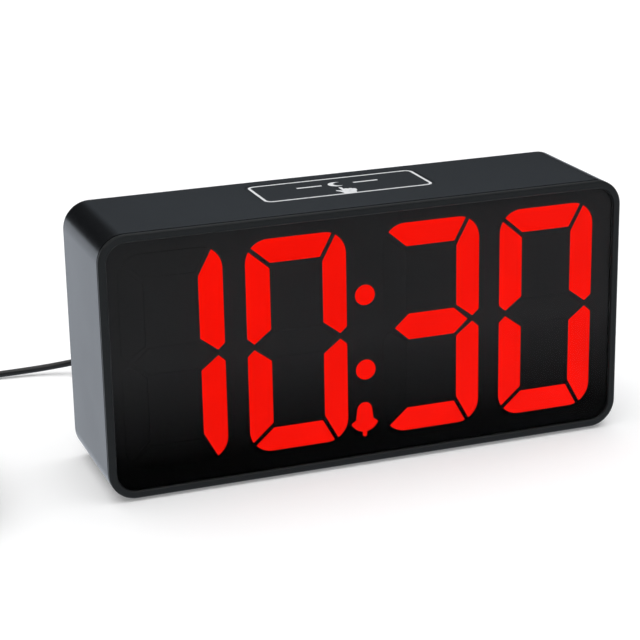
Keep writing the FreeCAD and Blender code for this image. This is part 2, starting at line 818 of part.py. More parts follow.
def switch_case(x, z):
    """A push switch on the main board's back, with a round seat for its plunger."""
    case_back = MAIN_BACK + SWITCH_HEIGHT
    case = block_at(x, z, SWITCH_SIZE, SWITCH_SIZE, MAIN_BACK, case_back)
    size = PLUNGER_SIZE + 2 * PLUNGER_FIT
    seat = block_at(x, z, size, size, case_back - PLUNGER_SEAT, case_back + OVER)
    return case.cut(seat)


def switch_plunger(x, z):
    start = MAIN_BACK + SWITCH_HEIGHT - PLUNGER_SEAT + PLUNGER_START
    return block_at(x, z, PLUNGER_SIZE, PLUNGER_SIZE, start, start + PLUNGER_LENGTH)


def make_button(x, z):
    """A rear button: cap, retaining flange and a stem that rests on its plunger."""
    flange_back = COVER_FRONT - BUTTON_GAP
    flange_front = flange_back - BUTTON_FLANGE_THICK
    width, high = BUTTON_WIDTH, BUTTON_HIGH
    cap = block_at(x, z, width, high, flange_back - OVER, BACK + BUTTON_PROUD)
    cap = cap.makeChamfer(BUTTON_EDGE, edges_at_y(cap, BACK + BUTTON_PROUD))
    flange = block_at(
        x, z, width + 2 * BUTTON_FLANGE, high + 2 * BUTTON_FLANGE, flange_front, flange_back
    )
    stem_start = MAIN_BACK + SWITCH_HEIGHT - PLUNGER_SEAT + PLUNGER_START + PLUNGER_LENGTH
    stem = block_at(x, z, BUTTON_STEM, BUTTON_STEM, stem_start, flange_front + SEAM)
    return cap.fuse([flange, stem]).removeSplitter()


def button_places():
    return [(name, BUTTON_FIRST_X + n * BUTTON_PITCH) for n, name in enumerate(BUTTON_NAMES)]


def make_buttons():
    for name, x in button_places():
        save(name + "_button", make_button(x, BUTTON_Z))
        save(name + "_plunger", switch_plunger(x, BUTTON_Z))
    save("rear_switches", group(switch_case(x, BUTTON_Z) for name, x in button_places()))


def make_snooze():
    """The snooze key, flush with the top, over a switch at the main board's upper edge."""
    flange_top = TOP - WALL - SNOOZE_GAP
    flange_low = flange_top - SNOOZE_FLANGE_THICK
    key = snooze_prism(0, flange_low, TOP - SNOOZE_SINK)
    half_x = SNOOZE_WIDTH / 2 + SNOOZE_FLANGE
    half_y = SNOOZE_DEPTH / 2 + SNOOZE_FLANGE
    x0, x1 = SNOOZE_X - half_x, SNOOZE_X + half_x
    pieces = [box(x0, x1, SNOOZE_Y - half_y, SNOOZE_Y + half_y, flange_low, flange_top)]
    rib_half = SNOOZE_WIDTH / 2 - SNOOZE_CORNER_R
    for side in (-1, 1):
        y = SNOOZE_Y + side * SNOOZE_RIB_Y
        x0, x1 = SNOOZE_X - rib_half, SNOOZE_X + rib_half
        rib_low = flange_low - SNOOZE_RIB_DROP
        pieces.append(box(x0, x1, y - SNOOZE_RIB / 2, y + SNOOZE_RIB / 2, rib_low, flange_low + SEAM))
    switch_y = MAIN_BACK + SWITCH_HEIGHT / 2
    plunger_low = BOARD_HIGH_Z - PLUNGER_SEAT + PLUNGER_START
    plunger_top = plunger_low + SNOOZE_PLUNGER_LENGTH
    pieces.append(upright(SNOOZE_X, switch_y, SNOOZE_BOSS, plunger_top, flange_low + SEAM))
    save("snooze_key", key.fuse(pieces).removeSplitter())

    half = SWITCH_SIZE / 2
    case_z = BOARD_HIGH_Z - SWITCH_SIZE
    case_back = MAIN_BACK + SWITCH_HEIGHT
    case = box(SNOOZE_X - half, SNOOZE_X + half, MAIN_BACK, case_back, case_z, BOARD_HIGH_Z)
    size = PLUNGER_SIZE + 2 * PLUNGER_FIT
    seat = upright(SNOOZE_X, switch_y, size, BOARD_HIGH_Z - PLUNGER_SEAT, BOARD_HIGH_Z + OVER)
    save("snooze_switch", case.cut(seat))
    save("snooze_plunger", upright(SNOOZE_X, switch_y, PLUNGER_SIZE, plunger_low, plunger_top))


def make_wheel():
    """The brightness wheel: a grooved disc on a spindle, its edge standing out of a slot in the cover."""
    wheel_y = BACK + WHEEL_PROUD - WHEEL_R
    low = WHEEL_Z - WHEEL_THICK / 2
    high = WHEEL_Z + WHEEL_THICK / 2
    wheel = rod_z(WHEEL_X, wheel_y, WHEEL_R, low, high)
    tools = [rod_z(WHEEL_X, wheel_y, SPINDLE_R + SPINDLE_FIT, low - OVER, high + OVER)]
    for number in range(WHEEL_GROOVES):
        groove = upright(WHEEL_R, 0, WHEEL_GROOVE * math.sqrt(2), low - OVER, high + OVER)
        groove.rotate(Vector(WHEEL_R, 0, 0), ALONG_Z, 45)
        groove.rotate(Vector(0, 0, 0), ALONG_Z, 360 * (number + 0.5) / WHEEL_GROOVES)
        groove.translate(Vector(WHEEL_X, wheel_y, 0))
        tools.append(groove)
    save("brightness_wheel", wheel.cut(tools))

    body_top = low - WHEEL_GAP
    half = CONTROL_WIDTH / 2
    body_back = COVER_FRONT - CONTROL_GAP
    body = box(WHEEL_X - half, WHEEL_X + half, MAIN_BACK, body_back, body_top - CONTROL_THICK, body_top)
    spindle = rod_z(WHEEL_X, wheel_y, SPINDLE_R, body_top - SEAM, high + WHEEL_GAP + SPINDLE_CAP)
    cap = rod_z(WHEEL_X, wheel_y, SPINDLE_CAP_R, high + WHEEL_GAP, high + WHEEL_GAP + SPINDLE_CAP)
    save("brightness_control", body.fuse([spindle, cap]).removeSplitter())


def make_slider():
    """The loudness slider at the left end of its slot, and the switch body that it runs in."""
    switch_back = MAIN_BACK + SLIDE_SWITCH_RISE
    foot = switch_back - SLIDER_FOOT
    middle = SLIDER_X + SLIDER_TRAVEL / 2
    slider = block_at(SLIDER_X, SLIDER_Z, SLIDER_WIDTH, SLIDER_HIGH, foot, COVER_BACK + SLIDER_PROUD)
    grooves = []
    for step in (-1, 0, 1):
        x = SLIDER_X + step * SLIDER_GROOVE_PITCH
        grooves.append(
            block_at(x, SLIDER_Z, SLIDER_GROOVE, SLIDER_HIGH + OVER, COVER_BACK, COVER_BACK + OVER)
        )
    body = block_at(middle, SLIDER_Z, SLIDE_SWITCH_WIDTH, SLIDE_SWITCH_HIGH, MAIN_BACK, switch_back)
    channel_width = SLIDER_TRAVEL + SLIDER_WIDTH + 2 * SLIDER_GAP
    channel = block_at(
        middle, SLIDER_Z, channel_width, SLIDER_HIGH + 2 * SLIDER_GAP, foot - SLIDER_GAP, switch_back + OVER
    )
    save("loudness_slider", slider.cut(grooves))
    save("loudness_switch", body.cut(channel))


def make_buzzer():
    return rod_y(BUZZER_X, BUZZER_Z, BUZZER_R, MAIN_BACK, MAIN_BACK + BUZZER_HEIGHT)


# ---------------------------------------------------------------- rear cover and battery


def lug(centre_deg, r0, r1, span_deg, y0, y1):
    """A short arc of a ring round the cell's axis."""
    ring = rod_y(0, 0, r1, y0, y1).cut(rod_y(0, 0, r0, y0 - OVER, y1 + OVER))
    half = math.radians(span_deg / 2)
    far = r1 * 2
    tip_x, tip_z = far * math.cos(half), far * math.sin(half)
    wedge = polygon([(0, 0), (tip_x, -tip_z), (tip_x, tip_z)], y0 - OVER)
    piece = ring.common(wedge.extrude(ALONG_Y * (y1 - y0 + 2 * OVER)))
    piece.rotate(Vector(0, 0, 0), ALONG_Y, -centre_deg)
    piece.translate(Vector(CELL_X, 0, CELL_Z))
    return piece


def lug_angles(turn):
    return [90 + turn + n * 360 / DOOR_LUGS for n in range(DOOR_LUGS)]


def pocket_radius():
    return DOOR_R + DOOR_LUG_REACH + POCKET_GAP


def door_front():
    return COVER_FRONT - DOOR_FIT - DOOR_LUG_THICK


def cell_back():
    return door_front() - CELL_GAP


def pocket_floor():
    """The plane that the contacts lie on, in front of the cell."""
    return cell_back() - CELL_THICK - CONTACT_HEIGHT


def make_door():
    """The battery door: a disc with a coin slot and three lugs behind the cover's edge."""
    lug_back = COVER_FRONT - DOOR_FIT
    disc = rod_y(CELL_X, CELL_Z, DOOR_R, door_front(), COVER_BACK)
    lugs = [
        lug(angle, DOOR_R - DOOR_LUG_ROOT, DOOR_R + DOOR_LUG_REACH, DOOR_LUG_SPAN, door_front(), lug_back)
        for angle in lug_angles(0)
    ]
    slot = block_at(CELL_X, CELL_Z, COIN_SLOT_LENGTH, COIN_SLOT_WIDTH, COVER_BACK - COIN_SLOT_DEPTH, BACK)
    return disc.fuse(lugs).removeSplitter().cut(slot)


def make_cell():
    """The backup coin cell."""
    back = cell_back()
    return rod_y(CELL_X, CELL_Z, CELL_R, back - CELL_THICK, back)


def make_contacts():
    """Two strips on the pocket's floor, with tails through it to the main board."""
    floor = pocket_floor()
    half = CONTACT_WIDTH / 2
    tail_z = CELL_Z - CONTACT_REACH
    under = box(CELL_X - half, CELL_X + half, floor, floor + CONTACT_THICK, tail_z - half, CELL_Z + half)
    finger = box(
        CELL_X - half, CELL_X + half, floor, floor + CONTACT_HEIGHT, CELL_Z - half, CELL_Z + half
    )
    tail = box(CELL_X - half, CELL_X + half, MAIN_BACK, floor + CONTACT_THICK, tail_z - CONTACT_THICK, tail_z)
    negative = under.fuse([finger, tail]).removeSplitter()
    side = CELL_X - CELL_R - CELL_GAP
    blade = box(side - CONTACT_THICK, side, MAIN_BACK, cell_back() - OVER, CELL_Z - half, CELL_Z + half)
    return group([negative, blade])


def contact_holes():
    """Clearance for the contacts' tails through the pocket's floor."""
    floor = pocket_floor()
    half = CONTACT_WIDTH / 2 + SEAM
    tail_z = CELL_Z - CONTACT_REACH
    side = CELL_X - CELL_R - CELL_GAP
    front = floor - POCKET_WALL - OVER
    return [
        box(CELL_X - half, CELL_X + half, front, floor, tail_z - CONTACT_THICK - SEAM, tail_z + SEAM),
        box(side - CONTACT_THICK - SEAM, side + SEAM, front, floor, CELL_Z - half, CELL_Z + half),
    ]


def sound_slots(y0, y1):
    """Level slots over the buzzer, as long as its round front is wide at each one."""
    slots = []
    for number in range(SOUND_SLOTS):
        rise = (number - (SOUND_SLOTS - 1) / 2) * SOUND_SLOT_PITCH
        chord = 2 * math.sqrt(max(BUZZER_R**2 - rise**2, SOUND_SLOT**2))
        slots.append(block_at(BUZZER_X, BUZZER_Z + rise, chord, SOUND_SLOT, y0, y1))
    return slots


def cover_additions():
    """The cell's pocket, and the posts with the pegs that hold the main board, melted over at its front."""
    floor = pocket_floor()
    outer = pocket_radius() + POCKET_WALL
    pieces = [rod_y(CELL_X, CELL_Z, outer, floor - POCKET_WALL, COVER_FRONT + SEAM)]
    for x, z in post_places():
        pieces.append(block_at(x, z, POST_SIZE, POST_SIZE, MAIN_BACK, COVER_FRONT + SEAM))
        pieces.append(block_at(x, z, PEG_SIZE, PEG_SIZE, MAIN_FRONT - PEG_HEAD_THICK, MAIN_BACK + SEAM))
        pieces.append(block_at(x, z, PEG_HEAD, PEG_HEAD, MAIN_FRONT - PEG_HEAD_THICK, MAIN_FRONT))
    return pieces


def cover_openings():
    through = (COVER_FRONT - OVER, COVER_BACK + OVER)
    wheel_y = BACK + WHEEL_PROUD - WHEEL_R
    chord = math.sqrt(max(WHEEL_R**2 - (COVER_FRONT - wheel_y) ** 2, 0))
    gap = 2 * BUTTON_GAP
    holes = [
        block_at(WHEEL_X, WHEEL_Z, 2 * (chord + SLOT_GAP), WHEEL_THICK + 2 * SLOT_GAP, *through),
        block_at(
            SLIDER_X + SLIDER_TRAVEL / 2,
            SLIDER_Z,
            SLIDER_WIDTH + SLIDER_TRAVEL + 2 * SLIDER_GAP,
            SLIDER_HIGH + 2 * SLIDER_GAP,
            *through,
        ),
        block_at(USB_X, USB_Z, USB_WIDTH + 2 * USB_FIT, USB_HIGH + 2 * USB_FIT, *through),
        rod_y(JACK_X, JACK_Z, JACK_NOSE_R + JACK_NOSE_FIT, *through),
        rod_y(CELL_X, CELL_Z, DOOR_R + DOOR_FIT, *through),
        rod_y(CELL_X, CELL_Z, pocket_radius(), pocket_floor(), COVER_FRONT),
    ]
    for name, x in button_places():
        holes.append(block_at(x, BUTTON_Z, BUTTON_WIDTH + gap, BUTTON_HIGH + gap, *through))
    return holes + sound_slots(*through)


def cover_screw_holes():
    holes = []
    for x, z in cover_screw_places():
        holes.append(rod_y(x, z, SCREW_R + SCREW_HOLE_FIT, COVER_FRONT - OVER, COVER_BACK + OVER))
    return holes


def make_cover():
    """The rear cover, sunk a little into the sleeve, with every control opening."""
    plate = body_plate(WALL + COVER_FIT, COVER_FRONT, COVER_BACK)
    plate = plate.makeChamfer(COVER_EDGE, edges_at_y(plate, COVER_BACK))
    notches = [
        lug(
            angle,
            DOOR_R - DOOR_LUG_ROOT,
            DOOR_R + DOOR_LUG_REACH + DOOR_FIT,
            DOOR_LUG_SPAN + DOOR_LUG_PLAY,
            COVER_FRONT - OVER,
            COVER_BACK + OVER,
        )
        for angle in lug_angles(-DOOR_TURN)
    ]
    cover = plate.fuse(cover_additions())
    return cover.cut(cover_openings() + cover_screw_holes() + notches + contact_holes())


def make_screw(x, z):
    """A pan-head screw, its head on the cover."""
    shank = rod_y(x, z, SCREW_R, COVER_BACK - SCREW_LENGTH, COVER_BACK)
    return shank.fuse(rod_y(x, z, SCREW_HEAD_R, COVER_BACK, COVER_BACK + SCREW_HEAD)).removeSplitter()


# ---------------------------------------------------------------- sockets and plug


def make_usb():
    """The charging socket: a folded metal shell with a moulded base and tongue in it."""
    shell = block_at(USB_X, USB_Z, USB_WIDTH, USB_HIGH, MAIN_BACK, COVER_BACK)
    inner_width = USB_WIDTH - 2 * USB_WALL
    inner_high = USB_HIGH - 2 * USB_WALL
    shell = shell.cut(block_at(USB_X, USB_Z, inner_width, inner_high, MAIN_BACK - OVER, COVER_BACK + OVER))
    save("usb_shell", shell)
    base = block_at(
        USB_X, USB_Z, inner_width - SEAM, inner_high - SEAM, MAIN_BACK, MAIN_BACK + USB_BASE
    )
    tongue_top = USB_Z + inner_high / 2 - USB_TONGUE_TOP
    half = inner_width / 2 - USB_TONGUE_SIDE
    tongue = box(
        USB_X - half,
        USB_X + half,
        MAIN_BACK + USB_BASE - SEAM,
        MAIN_BACK + USB_BASE + USB_TONGUE_LENGTH,
        tongue_top - USB_TONGUE,
        tongue_top,
    )
    save("usb_tongue", base.fuse(tongue).removeSplitter())


def make_jack():
    body = block_at(JACK_X, JACK_Z, JACK_SIZE, JACK_SIZE, MAIN_BACK, COVER_FRONT - JACK_NOSE_FIT)
    nose = rod_y(JACK_X, JACK_Z, JACK_NOSE_R, COVER_FRONT - OVER, COVER_BACK)
    bore = rod_y(JACK_X, JACK_Z, JACK_BORE_R, COVER_BACK - JACK_BORE_DEPTH, COVER_BACK + OVER)
    save("jack_body", body.fuse(nose).removeSplitter().cut(bore))
    save("jack_pin", rod_y(JACK_X, JACK_Z, JACK_PIN_R, COVER_BACK - JACK_BORE_DEPTH, COVER_BACK - OVER))


def strain_relief(x, z, y0, y1):
    """A moulded sleeve on the lead: a collar, then a thinner neck."""
    neck = rod_y(x, z, RELIEF_TIP_R, y0, y1)
    return neck.fuse(rod_y(x, z, RELIEF_BASE_R, y0, y0 + RELIEF_BASE)).removeSplitter()


def make_plug():
    barrel_back = BACK + PLUG_GAP
    barrel = rod_y(JACK_X, JACK_Z, BARREL_R, COVER_BACK - BARREL_LENGTH, barrel_back)
    bore = rod_y(JACK_X, JACK_Z, BARREL_BORE_R, COVER_BACK - BARREL_LENGTH - OVER, barrel_back - OVER)
    save("plug_barrel", barrel.cut(bore))
    plug_back = barrel_back + PLUG_LENGTH
    grip = rod_y(JACK_X, JACK_Z, PLUG_R, barrel_back, plug_back)
    flats = []
    for number in range(PLUG_RIDGES):
        y = barrel_back + PLUG_LENGTH / 2 + (number - (PLUG_RIDGES - 1) / 2) * PLUG_RIDGE_PITCH
        for side in (-1, 1):
            x = JACK_X + side * (PLUG_R - PLUG_RIDGE + PLUG_R)
            flats.append(block_at(x, JACK_Z, 2 * PLUG_R, 2 * PLUG_R, y - PLUG_RIDGE, y + PLUG_RIDGE))
    save("plug_body", grip.cut(flats))
    save("plug_strain_relief", strain_relief(JACK_X, JACK_Z, plug_back, CORD_END))


# ---------------------------------------------------------------- lead, coil and adapter


def arc_path(points):
    """Straight runs joined by tangent arcs, each as large as its two runs allow. Gives wire and radii."""
    corners = [Vector(*p) for p in points]
    edges, radii = [], []
    start = corners[0]
    for before, corner, after in zip(corners, corners[1:], corners[2:]):
        back = before - corner
        forth = after - corner
        half_turn = (math.pi - back.getAngle(forth)) / 2
        reach = ARC_SHARE * min(back.Length, forth.Length)
        radius = reach / math.tan(half_turn)
        back.normalize()
        forth.normalize()
        enter = corner + back * reach
        leave = corner + forth * reach
        inward = back + forth
        inward.normalize()
        middle = corner + inward * (radius / math.cos(half_turn) - radius)
        edges.append(Part.LineSegment(start, enter).toShape())
        edges.append(Part.Arc(enter, middle, leave).toShape())
        radii.append(radius)
        start = leave
    edges.append(Part.LineSegment(start, corners[-1]).toShape())
    return Part.Wire(edges), radii


def make_tube(node, points):
    path, radii = arc_path(points)
    first = Vector(*points[1]) - Vector(*points[0])
    ring = Part.Wire(Part.Circle(Vector(*points[0]), first, CORD_R).toShape())
    tube = path.makePipeShell([ring], True, False)
    share = tube.Volume / (math.pi * CORD_R**2 * path.Length)
    print(node, "length", round(path.Length, 1), "volume share", round(share, 4))
    print(node, "arc radii", [round(r, 1) for r in radii])
    save(node, tube)


def coil_section():
    """Inner and outer radius, and the lowest and highest level, of the bundle of turns."""
    half = COIL_COLUMNS * CORD_R
    return COIL_MEAN_R - half, COIL_MEAN_R + half, COIL_LIFT, COIL_LIFT + 2 * CORD_R * COIL_LAYERS


def make_coil():
    inner, outer, low, high = coil_section()
    return rod_z(COIL_X, COIL_Y, outer, low, high).cut(rod_z(COIL_X, COIL_Y, inner, low - OVER, high + OVER))


def make_tie():
    """A flat strap closed round the bundle."""
    inner, outer, low, high = coil_section()
    half = TIE_WIDTH / 2
    thick = COIL_LIFT - TIE_FIT
    near = math.sqrt(inner**2 - half**2) - TIE_FIT
    far = outer + TIE_FIT
    low -= TIE_FIT
    high += TIE_FIT
    strap = box(near - thick, far + thick, -half, half, low - thick, high + thick)
    hole = box(near, far, -half - OVER, half + OVER, low, high)
    along = [e for e in strap.Edges if e.BoundBox.YLength > half]
    strap = strap.makeFillet(thick * TIE_EDGE_SHARE, along).cut(hole)
    strap.rotate(Vector(0, 0, 0), ALONG_Z, TIE_ANGLE)
    strap.translate(Vector(COIL_X, COIL_Y, 0))
    return strap


def make_adapter():
    """The wall adapter, lying on its side with its two blades pointing away from the clock."""
    x0 = ADAPTER_X - ADAPTER_WIDTH / 2
    x1 = ADAPTER_X + ADAPTER_WIDTH / 2
    y0 = ADAPTER_Y - ADAPTER_LENGTH / 2
    y1 = ADAPTER_Y + ADAPTER_LENGTH / 2
    body = box(x0, x1, y0, y1, 0, ADAPTER_HIGH)
    body = body.makeFillet(ADAPTER_EDGE_R, [e for e in body.Edges if e.BoundBox.YLength > ADAPTER_EDGE_R])
    save("power_adapter", body)
    middle = ADAPTER_HIGH / 2
    blades = []
    for side in (-1, 1):
        z = middle + side * BLADE_SPACING / 2
        blade = box(
            x0 - BLADE_LENGTH,
            x0,
            ADAPTER_Y + BLADE_Y - BLADE_WIDTH / 2,
            ADAPTER_Y + BLADE_Y + BLADE_WIDTH / 2,
            z - BLADE_THICK / 2,
            z + BLADE_THICK / 2,
        )
        far = x0 - BLADE_LENGTH / 2
        tips = [e for e in blade.Edges if e.BoundBox.XMax < far and e.BoundBox.ZLength > OVER]
        blade = blade.makeChamfer(BLADE_TIP, tips)
        hole_x = x0 - BLADE_LENGTH + BLADE_HOLE_FROM_TIP
        blades.append(blade.cut(rod_z(hole_x, ADAPTER_Y + BLADE_Y, BLADE_HOLE_R, 0, ADAPTER_HIGH)))
    save("adapter_blades", group(blades))
    lead_x, lead_y, lead_z = TAIL_ROUTE[-1]
    save("adapter_strain_relief", strain_relief(lead_x, lead_z, y1, lead_y))


def main():
    os.makedirs("parts", exist_ok=True)
    save("housing", make_housing())
    save("front_bezel", make_bezel())
    save("front_lens", make_lens())
    save("rubber_feet", group(foot_pad(x, y, 0) for x, y in foot_places()))
    make_display()
    make_boards()
    save("board_header", make_header())
    save("clock_chip", make_chip())
    save("crystal", make_crystal())
    save("filter_capacitor", make_capacitor())
    save("driver_transistors", make_transistors())
    save("chip_resistors", make_resistors())
    make_buttons()
    make_snooze()
    make_wheel()
    make_slider()
    save("buzzer", make_buzzer())
    save("rear_cover", make_cover())
    save("cover_screws", group(make_screw(x, z) for x, z in cover_screw_places()))
    save("battery_door", make_door())
    save("backup_cell", make_cell())
    save("cell_contacts", make_contacts())
    make_usb()
    make_jack()
    make_plug()
    make_tube("power_cord", CORD_ROUTE)
    make_tube("cord_tail", TAIL_ROUTE)
    save("cord_coil", make_coil())
    save("coil_tie", make_tie())
    make_adapter()


main()
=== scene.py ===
import math

import bmesh
import bpy
from mathutils import Matrix, Vector


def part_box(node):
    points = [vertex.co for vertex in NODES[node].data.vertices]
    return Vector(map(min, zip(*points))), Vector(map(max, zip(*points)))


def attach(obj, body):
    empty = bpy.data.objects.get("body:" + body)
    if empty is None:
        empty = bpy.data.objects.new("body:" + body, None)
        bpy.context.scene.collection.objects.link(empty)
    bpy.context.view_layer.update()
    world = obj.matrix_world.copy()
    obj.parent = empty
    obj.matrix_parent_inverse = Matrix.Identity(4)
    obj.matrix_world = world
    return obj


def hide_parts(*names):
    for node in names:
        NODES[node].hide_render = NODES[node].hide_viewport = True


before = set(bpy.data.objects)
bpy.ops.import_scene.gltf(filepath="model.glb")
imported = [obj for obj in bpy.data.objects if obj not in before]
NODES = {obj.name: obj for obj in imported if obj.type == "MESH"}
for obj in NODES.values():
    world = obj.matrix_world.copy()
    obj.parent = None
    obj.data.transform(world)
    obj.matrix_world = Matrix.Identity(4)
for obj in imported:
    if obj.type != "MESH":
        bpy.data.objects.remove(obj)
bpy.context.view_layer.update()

# Looks of an LED alarm clock: finishes, printed marks, screws, lead and studio.
# The clock faces -Y. Lengths are in millimetres, multiplied by MM. Colours are linear.
MM = 0.001

# Angles in degrees: for one round face, for an edge to be rounded, and for one flat face.
SMOOTH_BELOW = 35
BEVEL_ABOVE = 30
FLAT_WITHIN = 0.5
WELD_REACH = 0.001


# ---- bench tools


def let_go():
    bpy.ops.object.select_all(action="DESELECT")


def take(piece):
    """Make one piece the only selected and active one."""
    let_go()
    piece.select_set(True)
    bpy.context.view_layer.objects.active = piece
    return piece


def named(name):
    """Name what was just added and bake its place into its mesh."""
    piece = bpy.context.object
    piece.name = name
    piece.data.name = name
    bpy.ops.object.transform_apply(location=True, rotation=True, scale=True)
    return piece


def placed(name, data):
    """A new object that holds this data."""
    piece = bpy.data.objects.new(name, data)
    bpy.context.scene.collection.objects.link(piece)
    return piece


def new_box(name, place, size):
    """A box round its middle."""
    let_go()
    bpy.ops.mesh.primitive_cube_add(size=1, location=place)
    bpy.context.object.scale = size
    return named(name)


def open_mesh(piece, kind="FACE"):
    """Start work on a piece's mesh, with nothing picked."""
    take(piece)
    bpy.ops.object.mode_set(mode="EDIT")
    bpy.ops.mesh.select_mode(type=kind)
    bpy.ops.mesh.select_all(action="DESELECT")


def close_mesh():
    bpy.ops.object.mode_set(mode="OBJECT")


def pick_all():
    bpy.ops.mesh.select_all(action="SELECT")


def pick_faces(piece, wanted):
    """Select the faces whose middle and normal pass the test."""
    mesh = bmesh.from_edit_mesh(piece.data)
    mesh.normal_update()
    for face in mesh.faces:
        if wanted(face.calc_center_median(), face.normal):
            face.select_set(True)
    bmesh.update_edit_mesh(piece.data)


def even_shading(piece, angle=SMOOTH_BELOW):
    """Smooth the round parts, keep the edges crisp and the flat faces flat."""
    take(piece)
    bpy.ops.object.shade_smooth_by_angle(angle=math.radians(angle))
    weigh = piece.modifiers.new("flat_faces", "WEIGHTED_NORMAL")
    weigh.keep_sharp = True
    bpy.ops.object.modifier_apply(modifier=weigh.name)


def rounded_edges(piece, radius, steps=3):
    """Round every sharp edge, then shade the piece anew."""
    take(piece)
    bevel = piece.modifiers.new("edge_radius", "BEVEL")
    bevel.width = radius
    bevel.segments = steps
    bevel.limit_method = "ANGLE"
    bevel.angle_limit = math.radians(BEVEL_ABOVE)
    bpy.ops.object.modifier_apply(modifier=bevel.name)
    even_shading(piece)


def outward(piece):
    """Close the seams and turn every face outwards."""
    open_mesh(piece)
    pick_all()
    bpy.ops.mesh.remove_doubles(threshold=WELD_REACH * MM)
    bpy.ops.mesh.normals_make_consistent(inside=False)
    close_mesh()


def start_ring(name, place, turn, size, corner, steps, wide):
    """A flat plate with round corners and an inset, with its inner face picked."""
    let_go()
    bpy.ops.mesh.primitive_plane_add(size=1, location=place, rotation=turn)
    bpy.context.object.scale = size
    plate = named(name)
    open_mesh(plate, "VERT")
    pick_all()
    bpy.ops.mesh.bevel(offset=corner, segments=steps, affect="VERTICES")
    bpy.ops.mesh.select_mode(type="FACE")
    pick_all()
    bpy.ops.mesh.inset(thickness=wide)
    return plate


def end_ring(plate, thickness):
    """Take the inner face away and give the ring its thickness."""
    bpy.ops.mesh.delete(type="FACE")
    pick_all()
    bpy.ops.mesh.extrude_region_move(TRANSFORM_OT_translate={"value": thickness})
    close_mesh()
    outward(plate)


def moulded_copy(node, name, angle=SMOOTH_BELOW):
    """A closed, evenly shaded copy of one node's loose triangles, to stand for it."""
    piece = placed(name, NODES[node].data.copy())
    piece.data.materials.clear()
    outward(piece)
    open_mesh(piece)
    pick_all()
    bpy.ops.mesh.dissolve_limited(angle_limit=math.radians(FLAT_WITHIN))
    close_mesh()
    even_shading(piece, angle)
    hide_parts(node)
    return piece


def dress(piece, finish, body):
    """Give a piece its finish and the body that it moves with."""
    piece.data.materials.clear()
    piece.data.materials.append(finish)
    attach(piece, body)
    return piece


def turned(name, profile, centre, steps=32):
    """Turn a closed (radius, y) profile, in millimetres, round a line along Y through centre."""
    let_go()
    bpy.ops.mesh.primitive_circle_add(vertices=len(profile), fill_type="NOTHING")
    piece = bpy.context.object
    for corner, (radius, y) in zip(piece.data.vertices, profile):
        corner.co = (centre[0] + radius * MM, y * MM, centre[1])
    piece.location = (0, 0, 0)
    piece.name = name
    open_mesh(piece, "VERT")
    pick_all()
    around = (centre[0], 0, centre[1])
    bpy.ops.mesh.spin(steps=steps, angle=2 * math.pi, center=around, axis=(0, 1, 0))
    close_mesh()
    outward(piece)
    even_shading(piece)
    return piece


# ---- camera


# Angles in degrees and lengths in millimetres.
AZIMUTH = -19.963
ELEVATION = 18.288
ROLL = -1.074
TARGET = (-13.504, -17.5, 39.65)
DISTANCE = 482.65


def set_camera():
    """Stand the camera to the left, a little above the clock."""
    azimuth, elevation, roll = (math.radians(angle) for angle in (AZIMUTH, ELEVATION, ROLL))
    level = math.cos(elevation)
    back = Vector((math.sin(azimuth) * level, -math.cos(azimuth) * level, math.sin(elevation)))
    right = (-back).cross(Vector((0, 0, 1))).normalized()
    up = right.cross(-back)
    tilted_right = right * math.cos(roll) + up * math.sin(roll)
    tilted_up = up * math.cos(roll) - right * math.sin(roll)
    view = bpy.data.cameras.new("studio_camera")
    view.lens = 112.4
    view.sensor_width = 36
    view.clip_start = 10 * MM
    view.clip_end = 100
    camera = placed("studio_camera", view)
    turn = Matrix((tilted_right, tilted_up, back)).transposed().to_4x4()
    place = Vector(TARGET) * MM + back * (DISTANCE * MM)
    camera.matrix_world = Matrix.Translation(place) @ turn
    bpy.context.scene.camera = camera


# ---- lead

# The lead's own points in millimetres: the free run, and the tail to the adapter.
CORD_ROUTE = (
    (-36.0, 43.0, 16.0), (-36.0, 54.5, 16.0), (-42.0, 70.6, 7.2), (-57.5, 80.2, 2.0),
    (-77.0, 82.4, 1.0),
)
TAIL_ROUTE = ((-113.0, 50.0, 7.6), (-113.0, 33.0, 7.6))
CORD_R = 0.95
COIL_CENTRE = (-96.5, 67.0)
COIL_OUTER_R = 15.2
COIL_LOW = 1.45
COIL_PITCH = 1.9
COIL_TURNS = 18.25
POINTS_PER_TURN = 16
SHIFT_SHARE = 0.16

# Where the winding steps to the next place, in turns from its start: the columns inwards
# and outwards, and the layers upwards.
STEPS_IN = (0.92, 1.92, 2.92, 3.92, 10.24, 11.24, 12.24, 13.24)
STEPS_OUT = (5.58, 6.58, 7.58, 8.58, 14.90, 15.90, 16.90, 17.90)
STEPS_UP = (4.75, 9.41, 14.07)


def stepped(turn, places):
    """How many steps are done at this turn. A step takes SHIFT_SHARE of a turn."""
    done = 0
    for place in places:
        share = min(max((turn - place) / SHIFT_SHARE + 0.5, 0), 1)
        done += share * share * (3 - 2 * share)
    return done


def coil_points():
    """The put-away turns, wound in layers from the outside bottom to the outside top."""
    points = []
    swell = 1 / math.cos(math.pi / POINTS_PER_TURN)
    for number in range(1, int(COIL_TURNS * POINTS_PER_TURN) + 1):
        turn = number / POINTS_PER_TURN
        column = stepped(turn, STEPS_IN) - stepped(turn, STEPS_OUT)
        layer = stepped(turn, STEPS_UP)
        radius = (COIL_OUTER_R - column * COIL_PITCH) * swell
        angle = math.pi / 2 + turn * 2 * math.pi
        x = COIL_CENTRE[0] + radius * math.cos(angle)
        y = COIL_CENTRE[1] + radius * math.sin(angle)
        points.append((x, y, COIL_LOW + layer * COIL_PITCH))
    return points


